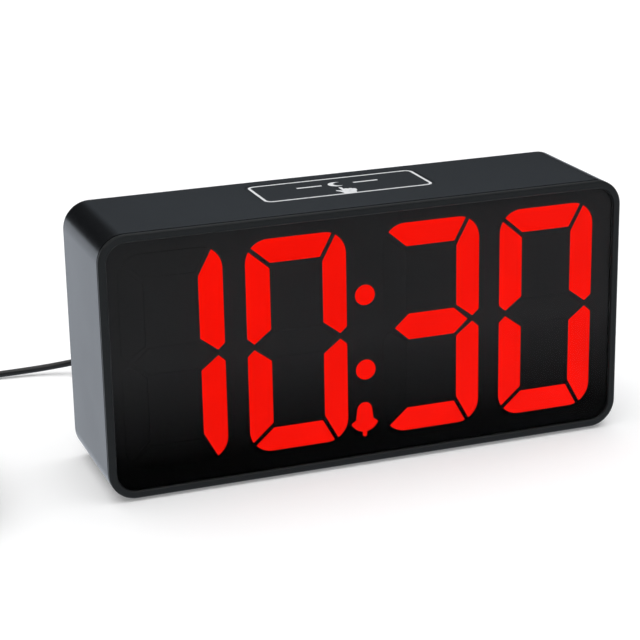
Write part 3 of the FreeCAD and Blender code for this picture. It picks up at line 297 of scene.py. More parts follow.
def make_lead(finish):
    """The whole lead as one smooth line: free run, put-away turns, tail."""
    curve = bpy.data.curves.new("power_lead", "CURVE")
    curve.dimensions = "3D"
    curve.bevel_depth = CORD_R * MM
    curve.bevel_resolution = 3
    curve.resolution_u = 5
    curve.use_fill_caps = True
    points = [*CORD_ROUTE, *coil_points(), *TAIL_ROUTE]
    spline = curve.splines.new("NURBS")
    spline.points.add(len(points) - 1)
    for knot, place in zip(spline.points, points):
        knot.co = (*(Vector(place) * MM), 1)
    spline.order_u = 3
    spline.use_endpoint_u = True
    spline.use_smooth = True
    lead = placed("power_lead", curve)
    curve.materials.append(finish)
    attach(lead, "clock")
    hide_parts("power_cord", "cord_coil", "cord_tail")
    return lead


# ---- shared surface effects


def new_effect(name, dial, value, *results):
    """An empty node group: a Place and one dial go in, and numbers come out."""
    group = bpy.data.node_groups.new(name, "ShaderNodeTree")
    group.interface.new_socket("Place", in_out="INPUT", socket_type="NodeSocketVector")
    socket = group.interface.new_socket(dial, in_out="INPUT", socket_type="NodeSocketFloat")
    socket.default_value = value
    for title in results:
        group.interface.new_socket(title, in_out="OUTPUT", socket_type="NodeSocketFloat")
    start = group.nodes.new("NodeGroupInput")
    end = group.nodes.new("NodeGroupOutput")
    return group, start.outputs[0], start.outputs[1], end.inputs


def add(tree, kind, **settings):
    """A node with these settings."""
    node = tree.nodes.new(kind)
    for name, value in settings.items():
        setattr(node, name, value)
    return node


def reading(tree, kind, vector):
    """A node that reads a place or a direction."""
    node = add(tree, kind)
    tree.links.new(vector, node.inputs["Vector"])
    return node


def give(tree, socket, value):
    """Link a socket to another one, or set it to a number or a colour."""
    if isinstance(value, bpy.types.NodeSocket):
        tree.links.new(value, socket)
    else:
        socket.default_value = (*value, 1) if isinstance(value, tuple) else value


def calc(tree, operation, first, second):
    """What a Math node makes of two sockets or numbers."""
    node = add(tree, "ShaderNodeMath", operation=operation)
    give(tree, node.inputs[0], first)
    give(tree, node.inputs[1], second)
    return node.outputs[0]


def spread(tree, value, low, high, new_low=0.0, new_high=1.0):
    """A Map Range node from low..high to new_low..new_high."""
    node = add(tree, "ShaderNodeMapRange", clamp=True)
    tree.links.new(value, node.inputs["Value"])
    ends = (("From Min", low), ("From Max", high), ("To Min", new_low), ("To Max", new_high))
    for title, number in ends:
        node.inputs[title].default_value = number
    return node.outputs["Result"]


def blend_colours(tree, share, first, second):
    """A colour between two others. Each is a colour or a socket."""
    node = add(tree, "ShaderNodeMix", data_type="RGBA")
    tree.links.new(share, node.inputs["Factor"])
    give(tree, node.inputs[6], first)
    give(tree, node.inputs[7], second)
    return node.outputs[2]


def noise(tree, place, scale, detail):
    """A cloudy pattern. Its scale is a number or a socket."""
    node = reading(tree, "ShaderNodeTexNoise", place)
    give(tree, node.inputs["Scale"], scale)
    node.inputs["Detail"].default_value = detail
    node.inputs["Roughness"].default_value = 0.55
    return node.outputs["Fac"]


def make_mould_grain():
    """The fine pitted skin that a spark-eroded mould leaves on plastic."""
    group, place, dial, end = new_effect("mould_grain", "Scale", 2500.0, "Height", "Patch")
    fine = noise(group, place, dial, 2.0)
    cells = reading(group, "ShaderNodeTexVoronoi", place)
    group.links.new(dial, cells.inputs["Scale"])
    height = calc(group, "MULTIPLY", fine, cells.outputs["Distance"])
    group.links.new(height, end["Height"])
    broad = calc(group, "MULTIPLY", dial, 0.012)
    group.links.new(noise(group, place, broad, 4.0), end["Patch"])
    return group


def make_edge_rub():
    """Where handling has polished the edges: a broken-up mask along them."""
    group, place, dial, end = new_effect("edge_rub", "Reach", 0.0004, "Mask")
    soft = add(group, "ShaderNodeBevel", samples=4)
    group.links.new(dial, soft.inputs["Radius"])
    shape = add(group, "ShaderNodeNewGeometry")
    agree = add(group, "ShaderNodeVectorMath", operation="DOT_PRODUCT")
    group.links.new(soft.outputs["Normal"], agree.inputs[0])
    group.links.new(shape.outputs["Normal"], agree.inputs[1])
    edge = spread(group, agree.outputs["Value"], 0.995, 0.9)
    patches = spread(group, noise(group, place, 260.0, 5.0), 0.42, 0.62)
    group.links.new(calc(group, "MULTIPLY", edge, patches), end["Mask"])
    return group


def make_dust():
    """Loose dust: small specks and a thin film on what faces up."""
    group, place, dial, end = new_effect("settled_dust", "Amount", 0.1, "Mask")
    shape = add(group, "ShaderNodeNewGeometry")
    parts = reading(group, "ShaderNodeSeparateXYZ", shape.outputs["Normal"])
    upward = spread(group, parts.outputs["Z"], 0.5, 1.0)
    film = spread(group, noise(group, place, 60.0, 5.0), 0.4, 0.75, 0.0, 0.6)
    specks = spread(group, noise(group, place, 2400.0, 1.0), 0.74, 0.8)
    both = calc(group, "MAXIMUM", film, specks)
    amount = calc(group, "MULTIPLY", upward, dial)
    group.links.new(calc(group, "MULTIPLY", both, amount), end["Mask"])
    return group


def make_smears():
    """Finger and wiping marks on polished faces."""
    group, place, dial, end = new_effect("finger_smears", "Scale", 40.0, "Mask")
    spots = noise(group, place, dial, 4.0)
    blots = spread(group, spots, 0.48, 0.7)
    squash = reading(group, "ShaderNodeMapping", place)
    squash.inputs["Scale"].default_value = (1.0, 1.0, 0.2)
    streaks = spread(group, noise(group, squash.outputs["Vector"], 120.0, 2.0), 0.4, 0.6, 0.6, 1.0)
    group.links.new(calc(group, "MULTIPLY", blots, streaks), end["Mask"])
    return group


MOULD_GRAIN = make_mould_grain()
EDGE_RUB = make_edge_rub()
SETTLED_DUST = make_dust()
FINGER_SMEARS = make_smears()


# ---- finishes


class Finish:
    """A material being made: its shader, and the piece's own coordinates."""

    def __init__(self, name):
        self.material = bpy.data.materials.new(name)
        self.material.use_nodes = True
        self.tree = self.material.node_tree
        self.shader = self.tree.nodes["Principled BSDF"]
        self.place = add(self.tree, "ShaderNodeTexCoord").outputs["Object"]

    def plain(self, **values):
        """Set what is the same all over, by the shader's socket names."""
        for title, value in values.items():
            self.shader.inputs[title.replace("_", " ")].default_value = value
        return self

    def effect(self, group, **values):
        """Place one shared effect with its own values."""
        node = add(self.tree, "ShaderNodeGroup", node_tree=group)
        self.tree.links.new(self.place, node.inputs["Place"])
        for title, value in values.items():
            node.inputs[title].default_value = value
        return node.outputs

    def blend(self, share, first, second):
        return blend_colours(self.tree, share, first, second)

    def cloud(self, scale, detail):
        return noise(self.tree, self.place, scale, detail)

    def spread(self, value, *ends):
        return spread(self.tree, value, *ends)

    def feed(self, title, value):
        self.tree.links.new(value, self.shader.inputs[title])
        return self

    def relief(self, height, depth):
        """Raise the surface by height, up to depth metres."""
        bump = add(self.tree, "ShaderNodeBump")
        bump.inputs["Strength"].default_value = 1.0
        bump.inputs["Distance"].default_value = depth
        self.tree.links.new(height, bump.inputs["Height"])
        return self.feed("Normal", bump.outputs["Normal"])


DUST_GREY = (0.36, 0.36, 0.35)


def moulded_plastic(name, colour, rubbed, roughness, grain, depth=0.00002, dust=0.02, gloss=0.3):
    """Grained thermoplastic with rubbed edges and a little dust."""
    finish = Finish(name)
    skin = finish.effect(MOULD_GRAIN, Scale=grain)
    rub = finish.effect(EDGE_RUB)["Mask"]
    film = finish.effect(SETTLED_DUST, Amount=dust)["Mask"]
    shade = tuple(part * 0.82 for part in colour)
    base = finish.blend(skin["Patch"], shade, colour)
    base = finish.blend(calc(finish.tree, "MULTIPLY", rub, 0.5), base, rubbed)
    finish.feed("Base Color", finish.blend(film, base, DUST_GREY))
    uneven = finish.spread(skin["Patch"], 0.3, 0.7, roughness - 0.02, roughness + 0.03)
    polished = calc(finish.tree, "MULTIPLY", rub, 0.06)
    finish.feed("Roughness", calc(finish.tree, "SUBTRACT", uneven, polished))
    finish.plain(Specular_IOR_Level=gloss, Specular_Tint=(0.93, 0.96, 1.0, 1))
    return finish.relief(skin["Height"], depth).material


def polished_plastic(name, colour, roughness, gloss):
    """Glossy plastic with finger smears."""
    finish = Finish(name)
    smears = finish.effect(FINGER_SMEARS)["Mask"]
    film = finish.effect(SETTLED_DUST, Amount=0.05)["Mask"]
    lighter = tuple(part * 1.25 + 0.001 for part in colour)
    base = finish.blend(smears, colour, lighter)
    finish.feed("Base Color", finish.blend(film, base, DUST_GREY))
    finish.feed("Roughness", finish.spread(smears, 0.0, 1.0, roughness, roughness + 0.07))
    return finish.plain(Specular_IOR_Level=gloss).material


def smoked_acrylic(name):
    """The see-through window: dark, anti-glare coated, with faint smears."""
    finish = Finish(name)
    smears = finish.effect(FINGER_SMEARS, Scale=25.0)["Mask"]
    finish.feed("Base Color", finish.blend(smears, (0.50, 0.49, 0.49), (0.53, 0.52, 0.52)))
    finish.plain(Transmission_Weight=1.0, IOR=1.49, Roughness=0.0)
    return finish.plain(Specular_Tint=(0.0, 0.0, 0.0, 1)).material


def painted_light_black(name, low_shade, high_shade, low_z, high_z):
    """Matt black moulding with painted light: its colour pales towards its top, where light falls
    in.
    """
    finish = Finish(name)
    parts = reading(finish.tree, "ShaderNodeSeparateXYZ", finish.place)
    # Painted light: the base colour runs from low_shade near low_z up to high_shade at high_z.
    height = finish.spread(parts.outputs["Z"], low_z, high_z)
    cloud = finish.spread(finish.cloud(30.0, 3.0), 0.3, 0.7, 0.95, 1.0)
    share = calc(finish.tree, "MULTIPLY", height, cloud)
    finish.feed("Base Color", finish.blend(share, low_shade, high_shade))
    finish.feed("Roughness", finish.spread(cloud, 0.95, 1.0, 0.7, 0.62))
    return finish.plain(Specular_IOR_Level=0.02).material


def glowing_resin(name, colour, strength):
    """A lit diffusing insert, a little brighter over its own lamp."""
    finish = Finish(name)
    cloud = finish.cloud(90.0, 2.0)
    dim = tuple(part * 0.94 for part in colour)
    glow = finish.blend(finish.spread(cloud, 0.35, 0.65), dim, colour)
    finish.feed("Emission Color", glow)
    finish.feed("Base Color", finish.blend(cloud, (0.05, 0.001, 0.001), (0.07, 0.002, 0.001)))
    return finish.plain(Emission_Strength=strength, Roughness=0.5, Specular_IOR_Level=0.05).material


def plated_metal(name, colour, roughness):
    """Plated or drawn metal with fine draw marks and dull patches."""
    finish = Finish(name)
    cloud = finish.cloud(180.0, 5.0)
    dull = tuple(part * 0.72 for part in colour)
    patches = finish.spread(cloud, 0.45, 0.75)
    finish.feed("Base Color", finish.blend(patches, colour, dull))
    finish.feed("Roughness", finish.spread(cloud, 0.3, 0.7, roughness, roughness + 0.14))
    marks = finish.cloud(900.0, 2.0)
    return finish.plain(Metallic=1.0).relief(marks, 0.0000015).material


def rubber(name, colour, roughness, grain, dust, gloss):
    """Soft black rubber or cord jacket with a faint bloom."""
    finish = Finish(name)
    skin = finish.effect(MOULD_GRAIN, Scale=grain)
    film = finish.effect(SETTLED_DUST, Amount=dust)["Mask"]
    bloom = tuple(part * 1.7 + 0.001 for part in colour)
    patches = finish.spread(skin["Patch"], 0.35, 0.75)
    base = finish.blend(patches, colour, bloom)
    finish.feed("Base Color", finish.blend(film, base, (0.30, 0.30, 0.29)))
    uneven = finish.spread(skin["Patch"], 0.3, 0.7, roughness - 0.06, roughness + 0.08)
    finish.feed("Roughness", uneven)
    finish.plain(Specular_IOR_Level=gloss)
    return finish.relief(skin["Height"], 0.00001).material


def circuit_laminate(name):
    """Green solder mask over copper tracks."""
    finish = Finish(name)
    tracks = reading(finish.tree, "ShaderNodeTexBrick", finish.place)
    tracks.inputs["Scale"].default_value = 160.0
    tracks.inputs["Mortar Size"].default_value = 0.03
    greens = ((0.012, 0.10, 0.045), (0.016, 0.13, 0.055), (0.03, 0.21, 0.09))
    for title, green in zip(("Color1", "Color2", "Mortar"), greens):
        give(finish.tree, tracks.inputs[title], green)
    cloud = finish.cloud(70.0, 4.0)
    shaded = finish.blend(cloud, (0.010, 0.085, 0.04), tracks.outputs["Color"])
    finish.feed("Base Color", shaded)
    finish.feed("Roughness", finish.spread(cloud, 0.3, 0.7, 0.28, 0.42))
    return finish.relief(tracks.outputs["Fac"], 0.00003).material


def printed_ink(name, colour, worn):
    """Pad-printed ink, slightly uneven and thinned by handling."""
    finish = Finish(name)
    cloud = finish.cloud(900.0, 4.0)
    wear = finish.spread(cloud, 0.52, 0.72)
    finish.feed("Base Color", finish.blend(wear, colour, worn))
    finish.feed("Roughness", finish.spread(cloud, 0.3, 0.7, 0.45, 0.6))
    return finish.relief(cloud, 0.000004).material


WINDOW_LOW, WINDOW_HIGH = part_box("front_lens")

# Moulded plastics. The grain is a pattern scale and its depth is in metres.
PLASTICS = {
    "housing_satin": dict(
        colour=(0.006, 0.0066, 0.0075), rubbed=(0.012, 0.0125, 0.013),
        roughness=0.22, grain=3200.0, depth=0.000006, dust=0.004, gloss=0.385,
    ),
    "bezel_satin": dict(
        colour=(0.019, 0.0205, 0.021), rubbed=(0.03, 0.03, 0.03),
        roughness=0.36, grain=3200.0, depth=0.000008, gloss=0.12,
    ),
    "cover_texture": dict(
        colour=(0.019, 0.0195, 0.021), rubbed=(0.05, 0.05, 0.052),
        roughness=0.5, grain=1500.0, depth=0.00005,
    ),
    "key_satin": dict(
        colour=(0.038, 0.040, 0.044), rubbed=(0.09, 0.09, 0.092), roughness=0.38, grain=2600.0,
    ),
    "adapter_texture": dict(
        colour=(0.018, 0.018, 0.019), rubbed=(0.024, 0.024, 0.024),
        roughness=0.48, grain=1400.0, depth=0.00006,
    ),
    "part_black": dict(
        colour=(0.015, 0.015, 0.016), rubbed=(0.05, 0.05, 0.05), roughness=0.45, grain=1800.0,
    ),
    "part_white": dict(
        colour=(0.72, 0.72, 0.69), rubbed=(0.8, 0.8, 0.78), roughness=0.42, grain=2200.0,
    ),
}

# Metals: colour and roughness.
METALS = {
    "steel_bright": ((0.62, 0.62, 0.61), 0.24),
    "can_metal": ((0.76, 0.76, 0.75), 0.3),
    "brass_nickel": ((0.74, 0.71, 0.64), 0.2),
}

# Soft black materials: colour, roughness, grain, dust and gloss.
RUBBERS = {
    "cord_jacket": ((0.006, 0.006, 0.0065), 0.36, 1600.0, 0.04, 0.3),
    "foot_rubber": ((0.022, 0.022, 0.022), 0.75, 1300.0, 0.12, 0.45),
}

# Printed inks: colour, and colour where it has worn thin.
INKS = {
    "ink_white": ((0.72, 0.73, 0.74), (0.5, 0.51, 0.52)),
    "ink_grey": ((0.42, 0.43, 0.44), (0.25, 0.255, 0.26)),
}


def make_finishes():
    """Every finish of the clock, by the plain name that the dressing table uses."""
    finishes = {
        # The display block's finish has painted light: darker towards the bottom, paler towards the
        # top.
        "block_matt": painted_light_black(
            "block_matt", (0.0004, 0.0004, 0.0004), (0.106, 0.109, 0.109),
            low_z=WINDOW_LOW.z + 5.3 * MM, high_z=33 * MM,
        ),
        "smoked_window": smoked_acrylic("smoked_window"),
        "lit_red": glowing_resin("lit_red", (1.0, 0.005, 0.001), strength=1.85),
        "lamp_epoxy": polished_plastic("lamp_epoxy", (0.75, 0.7, 0.6), roughness=0.2, gloss=0.5),
        "board_green": circuit_laminate("board_green"),
    }
    for name, look in PLASTICS.items():
        finishes[name] = moulded_plastic(name, **look)
    for maker, table in ((plated_metal, METALS), (rubber, RUBBERS), (printed_ink, INKS)):
        for name, look in table.items():
            finishes[name] = maker(name, *look)
    return finishes


FINISHES = make_finishes()

# Which finish each node of the frame gets, where no new piece stands for it.
NODE_FINISHES = {
    "housing_satin": ("housing", "snooze_key"),
    "bezel_satin": ("front_bezel",),
    "cover_texture": ("rear_cover", "battery_door"),
    "key_satin": (
        "minute_button", "hour_button", "time_button", "alarm_button",
        "brightness_wheel", "loudness_slider",
    ),
    "foot_rubber": ("rubber_feet",),
    # The block and its dark segments carry painted light, paler towards the top.
    "block_matt": ("display_block", "dark_segments"),
    "lit_red": ("lit_segments", "colon_dots", "alarm_bell"),
    "lamp_epoxy": ("leds",),
    "board_green": ("display_board", "main_board"),
    "part_black": (
        "board_header", "clock_chip", "driver_transistors", "chip_resistors",
        "buzzer", "jack_body", "brightness_control",
    ),
    "steel_bright": (
        "crystal", "backup_cell", "cell_contacts",
        "usb_shell", "rear_switches", "snooze_switch", "loudness_switch",
    ),
    "can_metal": ("filter_capacitor",),
    "part_white": (
        "minute_plunger", "hour_plunger", "time_plunger", "alarm_plunger",
        "snooze_plunger", "usb_tongue",
    ),
    "brass_nickel": ("jack_pin", "plug_barrel", "adapter_blades"),
    "cord_jacket": ("coil_tie",),
}


def finish_of(node):
    """A node's finish from the table. Nodes that aren't in it don't show."""
    for title, nodes in NODE_FINISHES.items():
        if node in nodes:
            return FINISHES[title]
    return FINISHES["part_black"]


def dress_nodes():
    """Give every node of the frame its finish."""
    for node, piece in NODES.items():
        piece.data.materials.clear()
        piece.data.materials.append(finish_of(node))


# ---- moulded shells

# Nodes that get a closed, evenly shaded copy: the copy's name and its body.
SHELLS = {
    "housing": ("housing_sleeve", "clock"),
    "front_bezel": ("bezel_rim", "clock"),
    "snooze_key": ("snooze_plate", "snooze_bar"),
    "rear_cover": ("cover_panel", "clock"),
    "battery_door": ("battery_hatch", "cell_door"),
    "brightness_wheel": ("thumb_wheel", "dimmer"),
    "jack_body": ("jack_socket", "clock"),
    "jack_pin": ("jack_contact", "clock"),
    "colon_dots": ("colon_lights", "clock"),
    "filter_capacitor": ("capacitor_can", "clock"),
    "crystal": ("crystal_can", "clock"),
    "buzzer": ("buzzer_can", "clock"),
}

# The same, for nodes whose edges are rounded as well.
CAPS = {
    "minute_button": ("minute_cap", "minute_key"),
    "hour_button": ("hour_cap", "hour_key"),
    "time_button": ("time_cap", "time_key"),
    "alarm_button": ("alarm_cap", "alarm_key"),
    "loudness_slider": ("slider_cap", "volume"),
    "coil_tie": ("lead_strap", "clock"),
}

CAP_EDGE = 0.25
HATCH_SMOOTH_BELOW = 12

# The dark seam behind the rim, and how near to the sleeve's front end a corner counts.
SEAM_WIDE = 0.4
SEAM_REACH = 0.01


def make_shells():
    """Closed copies for the shells, and edge-rounded ones for the caps."""
    for node, (name, body) in (*SHELLS.items(), *CAPS.items()):
        angle = HATCH_SMOOTH_BELOW if node == "battery_door" else SMOOTH_BELOW
        piece = moulded_copy(node, name, angle)
        if node in CAPS:
            rounded_edges(piece, CAP_EDGE * MM)
        dress(piece, finish_of(node), body)


def open_seam():
    """Draw the sleeve's front end back a little, for the dark seam behind the rim."""
    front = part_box("housing")[0].y
    for corner in bpy.data.objects["housing_sleeve"].data.vertices:
        if corner.co.y < front + SEAM_REACH * MM:
            corner.co.y += SEAM_WIDE * MM


# The pane: how far its back stands off the block, how near to its back a corner counts, and
# how round its edges are.
PANE_OFF = 0.04
PANE_REACH = 0.1
PANE_EDGE = 0.2

# The printed border: corner, width before fitting, lap over the block, and depth in the pane.
BORDER_CORNER = 5
BORDER_WIDE = 2.4
BORDER_LAP = 0.9
BORDER_IN = 0.005
BORDER_THICK = 0.015


def make_window():
    """The smoked pane, a hair off the display block."""
    pane = moulded_copy("front_lens", "window_pane")
    for corner in pane.data.vertices:
        if corner.co.y > WINDOW_HIGH.y - PANE_REACH * MM:
            corner.co.y -= PANE_OFF * MM
    rounded_edges(pane, PANE_EDGE * MM)
    dress(pane, FINISHES["smoked_window"], "clock")


def make_window_border():
    """The black border printed on the pane's back, round the display block."""
    low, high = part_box("display_block")
    middle = (WINDOW_LOW + WINDOW_HIGH) / 2
    size = WINDOW_HIGH - WINDOW_LOW
    place = (middle.x, WINDOW_HIGH.y - BORDER_IN * MM, middle.z)
    upright = (math.pi / 2, 0, 0)
    plate, corner, wide = (size.x, size.z, 1), BORDER_CORNER * MM, BORDER_WIDE * MM
    border = start_ring("window_border", place, upright, plate, corner, 8, wide)
    cover = BORDER_LAP * MM
    share_x = (high.x - low.x - cover) / (size.x - 2 * wide)
    share_z = (high.z - low.z - cover) / (size.z - 2 * wide)
    bpy.ops.transform.resize(value=(share_x, 1, share_z), center_override=middle)
    shift = (low + high) / 2 - middle
    bpy.ops.transform.translate(value=(shift.x, 0, shift.z))
    end_ring(border, (0, -BORDER_THICK * MM, 0))
    # The border takes the block's finish, with its painted light paler towards the top.
    dress(border, FINISHES["block_matt"], "clock")


# ---- printed marks

# Outlines are (u, v) points in millimetres. INK is how thick the ink lies.
INK = 0.02


def bar(u0, v0, u1, v1, wide):
    """A straight stroke from one point to the other."""
    length = math.hypot(u1 - u0, v1 - v0)
    su = -(v1 - v0) / length * wide / 2
    sv = (u1 - u0) / length * wide / 2
    return [(u0 + su, v0 + sv), (u0 - su, v0 - sv), (u1 - su, v1 - sv), (u1 + su, v1 + sv)]


def arc(u, v, radius, start, end, steps=12):
    """Points along an arc, from one angle to the other in degrees."""
    points = []
    for number in range(steps + 1):
        angle = math.radians(start + (end - start) * number / steps)
        points.append((u + radius * math.cos(angle), v + radius * math.sin(angle)))
    return points


def disc(u, v, radius, steps=20):
    """A filled round."""
    return arc(u, v, radius, 0, 360 - 360 / steps, steps - 1)


def curved_stroke(u, v, radius, wide, start, end, steps=12):
    """A stroke that follows an arc."""
    outer = arc(u, v, radius + wide / 2, start, end, steps)
    inner = arc(u, v, radius - wide / 2, end, start, steps)
    return outer + inner


def ring(u, v, radius, wide):
    """A whole ring, as two halves."""
    return [curved_stroke(u, v, radius, wide, 0, 180), curved_stroke(u, v, radius, wide, 180, 360)]


def print_mark(name, shapes, placing, ink="ink_grey", body="clock"):
    """Print flat outlines, in millimetres, as one thin raised mark on its face."""
    parts = []
    for outline in shapes:
        let_go()
        bpy.ops.mesh.primitive_circle_add(vertices=len(outline), fill_type="NGON")
        part = bpy.context.object
        for corner, (u, v) in zip(part.data.vertices, outline):
            corner.co = (u * MM, v * MM, 0)
        parts.append(part)
    mark = take(parts[0])
    for part in parts:
        part.select_set(True)
    if len(parts) > 1:
        bpy.ops.object.join()
    mark.name = name
    mark.data.name = name
    open_mesh(mark)
    pick_all()
    bpy.ops.mesh.extrude_region_move(TRANSFORM_OT_translate={"value": (0, 0, INK * MM)})
    close_mesh()
    mark.data.transform(placing)
    outward(mark)
    dress(mark, FINISHES[ink], body)


def on_top(x, y):
    """Set a mark on the snooze key, read from the front."""
    return Matrix.Translation((x, y, KEY_TOP))


def on_rear(x, z):
    """Set a mark on the rear cover, read from behind."""
    turn = Matrix(((-1, 0, 0), (0, 0, 1), (0, 1, 0))).transposed().to_4x4()
    return Matrix.Translation((x, COVER_FACE, z)) @ turn


def above(box, rise):
    """Set a mark on the rear cover, above a control."""
    low, high = box
    return on_rear((low.x + high.x) / 2, high.z + rise * MM)


KEY_LOW, KEY_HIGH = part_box("snooze_key")
KEY_TOP = KEY_HIGH.z
COVER_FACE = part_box("rear_cover")[1].y

# The key's hidden flange, the white line on its top, and the row of marks behind the hand.
KEY_FLANGE = 1.2
LINE_IN = 0.55
LINE_WIDE = 0.7
LINE_CORNER = 2
MOON_ROW = 1.9


def make_key_outline():
    """The white line round the snooze key's top."""
    inset = (KEY_FLANGE + LINE_IN) * MM
    low, high = KEY_LOW, KEY_HIGH
    middle = (low + high) / 2
    place = (middle.x, middle.y, KEY_TOP)
    plate = (high.x - low.x - 2 * inset, high.y - low.y - 2 * inset, 1)
    corner, wide = LINE_CORNER * MM, LINE_WIDE * MM
    line = start_ring("key_outline", place, (0, 0, 0), plate, corner, 6, wide)
    end_ring(line, (0, 0, INK * MM))
    dress(line, FINISHES["ink_white"], "snooze_bar")


# A hand with a pointing finger.
HAND = (
    (-1.5, 0.0), (1.7, 0.0), (1.9, 0.9), (2.55, 2.0), (2.7, 3.2),
    (2.45, 3.75), (1.95, 3.75), (1.75, 4.1), (1.25, 4.25), (0.85, 4.0),
    (0.6, 4.35), (0.05, 4.45), (-0.2, 4.15), (-0.2, 5.7), (-0.35, 6.0),
    (-0.6, 6.1), (-0.85, 6.0), (-1.0, 5.7), (-1.0, 2.7), (-1.6, 3.25),
    (-2.3, 3.5), (-2.7, 3.3), (-2.6, 2.9), (-2.0, 2.2), (-1.6, 1.1),
)


def make_key_marks():
    """A crescent moon between two dashes, and a pressing hand below it."""
    white = ("ink_white", "snooze_bar")
    middle = (KEY_LOW + KEY_HIGH) / 2
    moon = arc(-0.4, 0, 2.05, 49.5, 310.5, 24) + arc(0.55, 0, 1.6, 284.5, 75.5, 16)
    dashes = [bar(-10.8, 0, -4.2, 0, 0.8), bar(4.2, 0, 10.8, 0, 0.8)]
    row = middle.y + MOON_ROW * MM
    print_mark("moon_mark", [moon] + dashes, on_top(middle.x, row), *white)
    base = KEY_LOW.y + (KEY_FLANGE + LINE_IN + LINE_WIDE) * MM
    print_mark("hand_mark", [HAND], on_top(middle.x, base), *white)


def chevron(u):
    """One arrow head that points to the right, its tip at u."""
    return [(u, 0), (u - 1.0, 1.2), (u - 1.6, 1.2), (u - 0.6, 0), (u - 1.6, -1.2), (u - 1.0, -1.2)]


def bell_shape():
    """A bell with its clapper."""
    dome = arc(0, 0.4, 0.95, 0, 180, 10)
    left = [(-1.0, -0.5), (-1.35, -0.95), (-1.35, -1.15)]
    right = [(1.35, -1.15), (1.35, -0.95), (1.0, -0.5)]
    return [dome + left + right, disc(0, -1.55, 0.3, 12)]


def sun_shape():
    """A disc with eight rays."""
    rays = []
    for number in range(8):
        angle = math.radians(45 * number)
        c, s = math.cos(angle), math.sin(angle)
        rays.append(bar(1.1 * c, 1.1 * s, 1.7 * c, 1.7 * s, 0.3))
    return [disc(0, 0, 0.75)] + rays


def speaker_shape(waves):
    """A loudspeaker and its sound waves, read from behind."""
    horn = [(-1.7, -0.45), (-1.1, -0.45), (-0.3, -1.2), (-0.3, 1.2), (-1.1, 0.45), (-1.7, 0.45)]
    curves = [curved_stroke(-0.3, 0, 0.75 + 0.6 * n, 0.25, -42, 42, 8) for n in range(waves)]
    return [horn] + curves


def polarity_shape():
    """The usual sign of a centre-positive plug."""
    joined = [bar(-3.1, 0, -1.25, 0, 0.25), bar(0.45, 0, 3.1, 0, 0.25)]
    cup = curved_stroke(0, 0, 1.15, 0.25, 50, 310, 20)
    minus = bar(-4.5, 0, -3.5, 0, 0.3)
    upper, lower = bar(4.0, 0.15, 4.0, 0.5, 0.3), bar(4.0, -0.5, 4.0, -0.15, 0.3)
    return joined + [cup, disc(0, 0, 0.42, 16), minus, bar(3.5, 0, 4.5, 0, 0.3), upper, lower]


def charge_shape():
    """A spark: charging."""
    return [[(0.35, 1.7), (-0.95, -0.2), (-0.1, -0.2), (-0.35, -1.7), (0.95, 0.3), (0.1, 0.3)]]


def turn_arrow(radius, start, end):
    """A curved arrow along an arc."""
    wide, head, reach = 0.35, 0.75, 7
    shaft = curved_stroke(0, 0, radius, wide, start, end, 16)
    step = reach if end > start else -reach
    tip = arc(0, 0, radius, end + step, end + step, 1)[0]
    left = arc(0, 0, radius + head, end, end, 1)[0]
    right = arc(0, 0, radius - head, end, end, 1)[0]
    return [shaft, [tip, left, right]]


# How far the rear signs stand above their controls and across from the slider's end, and the
# arrow and the sign at the hatch.
SIGN_RISE = 2.9
BUTTON_RISE = 2.1
POLARITY_RISE = 5.4
SOFT_ACROSS = 5.6
LOUD_ACROSS = -0.6
ARROW_R = 14.2
ARROW_FROM, ARROW_TO = 72, 108
PLUS_DROP = 5.2


def make_rear_marks():
    """Plain signs beside the rear controls."""
    signs = {
        "minute": [chevron(0.8)],
        "hour": [chevron(0.1), chevron(1.6)],
        "time": ring(0, 0, 1.4, 0.3) + [bar(0, 0, 0, 0.95, 0.28), bar(0.14, 0, 0.8, 0, 0.28)],
        "alarm": bell_shape(),
    }
    for name, shapes in signs.items():
        print_mark(name + "_sign", shapes, above(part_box(name + "_button"), BUTTON_RISE))
    print_mark("sun_sign", sun_shape(), above(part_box("brightness_wheel"), SIGN_RISE))
    low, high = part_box("loudness_slider")
    loudness = (("soft_sign", 1, SOFT_ACROSS), ("loud_sign", 3, LOUD_ACROSS))
    for name, waves, across in loudness:
        place = on_rear(low.x + across * MM, high.z + SIGN_RISE * MM)
        print_mark(name, speaker_shape(waves), place)
    print_mark("polarity_sign", polarity_shape(), above(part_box("jack_pin"), POLARITY_RISE))
    print_mark("charge_sign", charge_shape(), above(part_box("usb_shell"), SIGN_RISE))
    low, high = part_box("backup_cell")
    x, z = (low.x + high.x) / 2, (low.z + high.z) / 2
    print_mark("hatch_arrow", turn_arrow(ARROW_R, ARROW_FROM, ARROW_TO), on_rear(x, z))
    plus = [bar(-1.4, 0, 1.4, 0, 0.45), bar(0, 0.225, 0, 1.4, 0.45), bar(0, -1.4, 0, -0.225, 0.45)]
    print_mark("cell_plus", plus, on_rear(x, z - PLUS_DROP * MM), body="cell_door")


# ---- screws

HEAD_R = 2.3
HEAD_EDGE = 0.55

# The cross recess: its length, width and depth, and its size at the bottom as a share.
CROSS_LONG = 3.0
CROSS_WIDE = 0.75
CROSS_DEEP = 1.5
CROSS_TAPER = 0.5


def cross_cutter(x, y, z):
    """A tapered cross that is cut out of a screw's head."""
    blades = []
    for wide, high in ((CROSS_LONG, CROSS_WIDE), (CROSS_WIDE, CROSS_LONG)):
        blade = new_box("cross_cutter", (x, y, z), (wide * MM, CROSS_DEEP * MM, high * MM))
        open_mesh(blade)
        pick_faces(blade, lambda middle, normal: normal.y < -0.9)
        bpy.ops.transform.resize(value=(CROSS_TAPER, 1, CROSS_TAPER))
        close_mesh()
        blades.append(blade)
    return blades


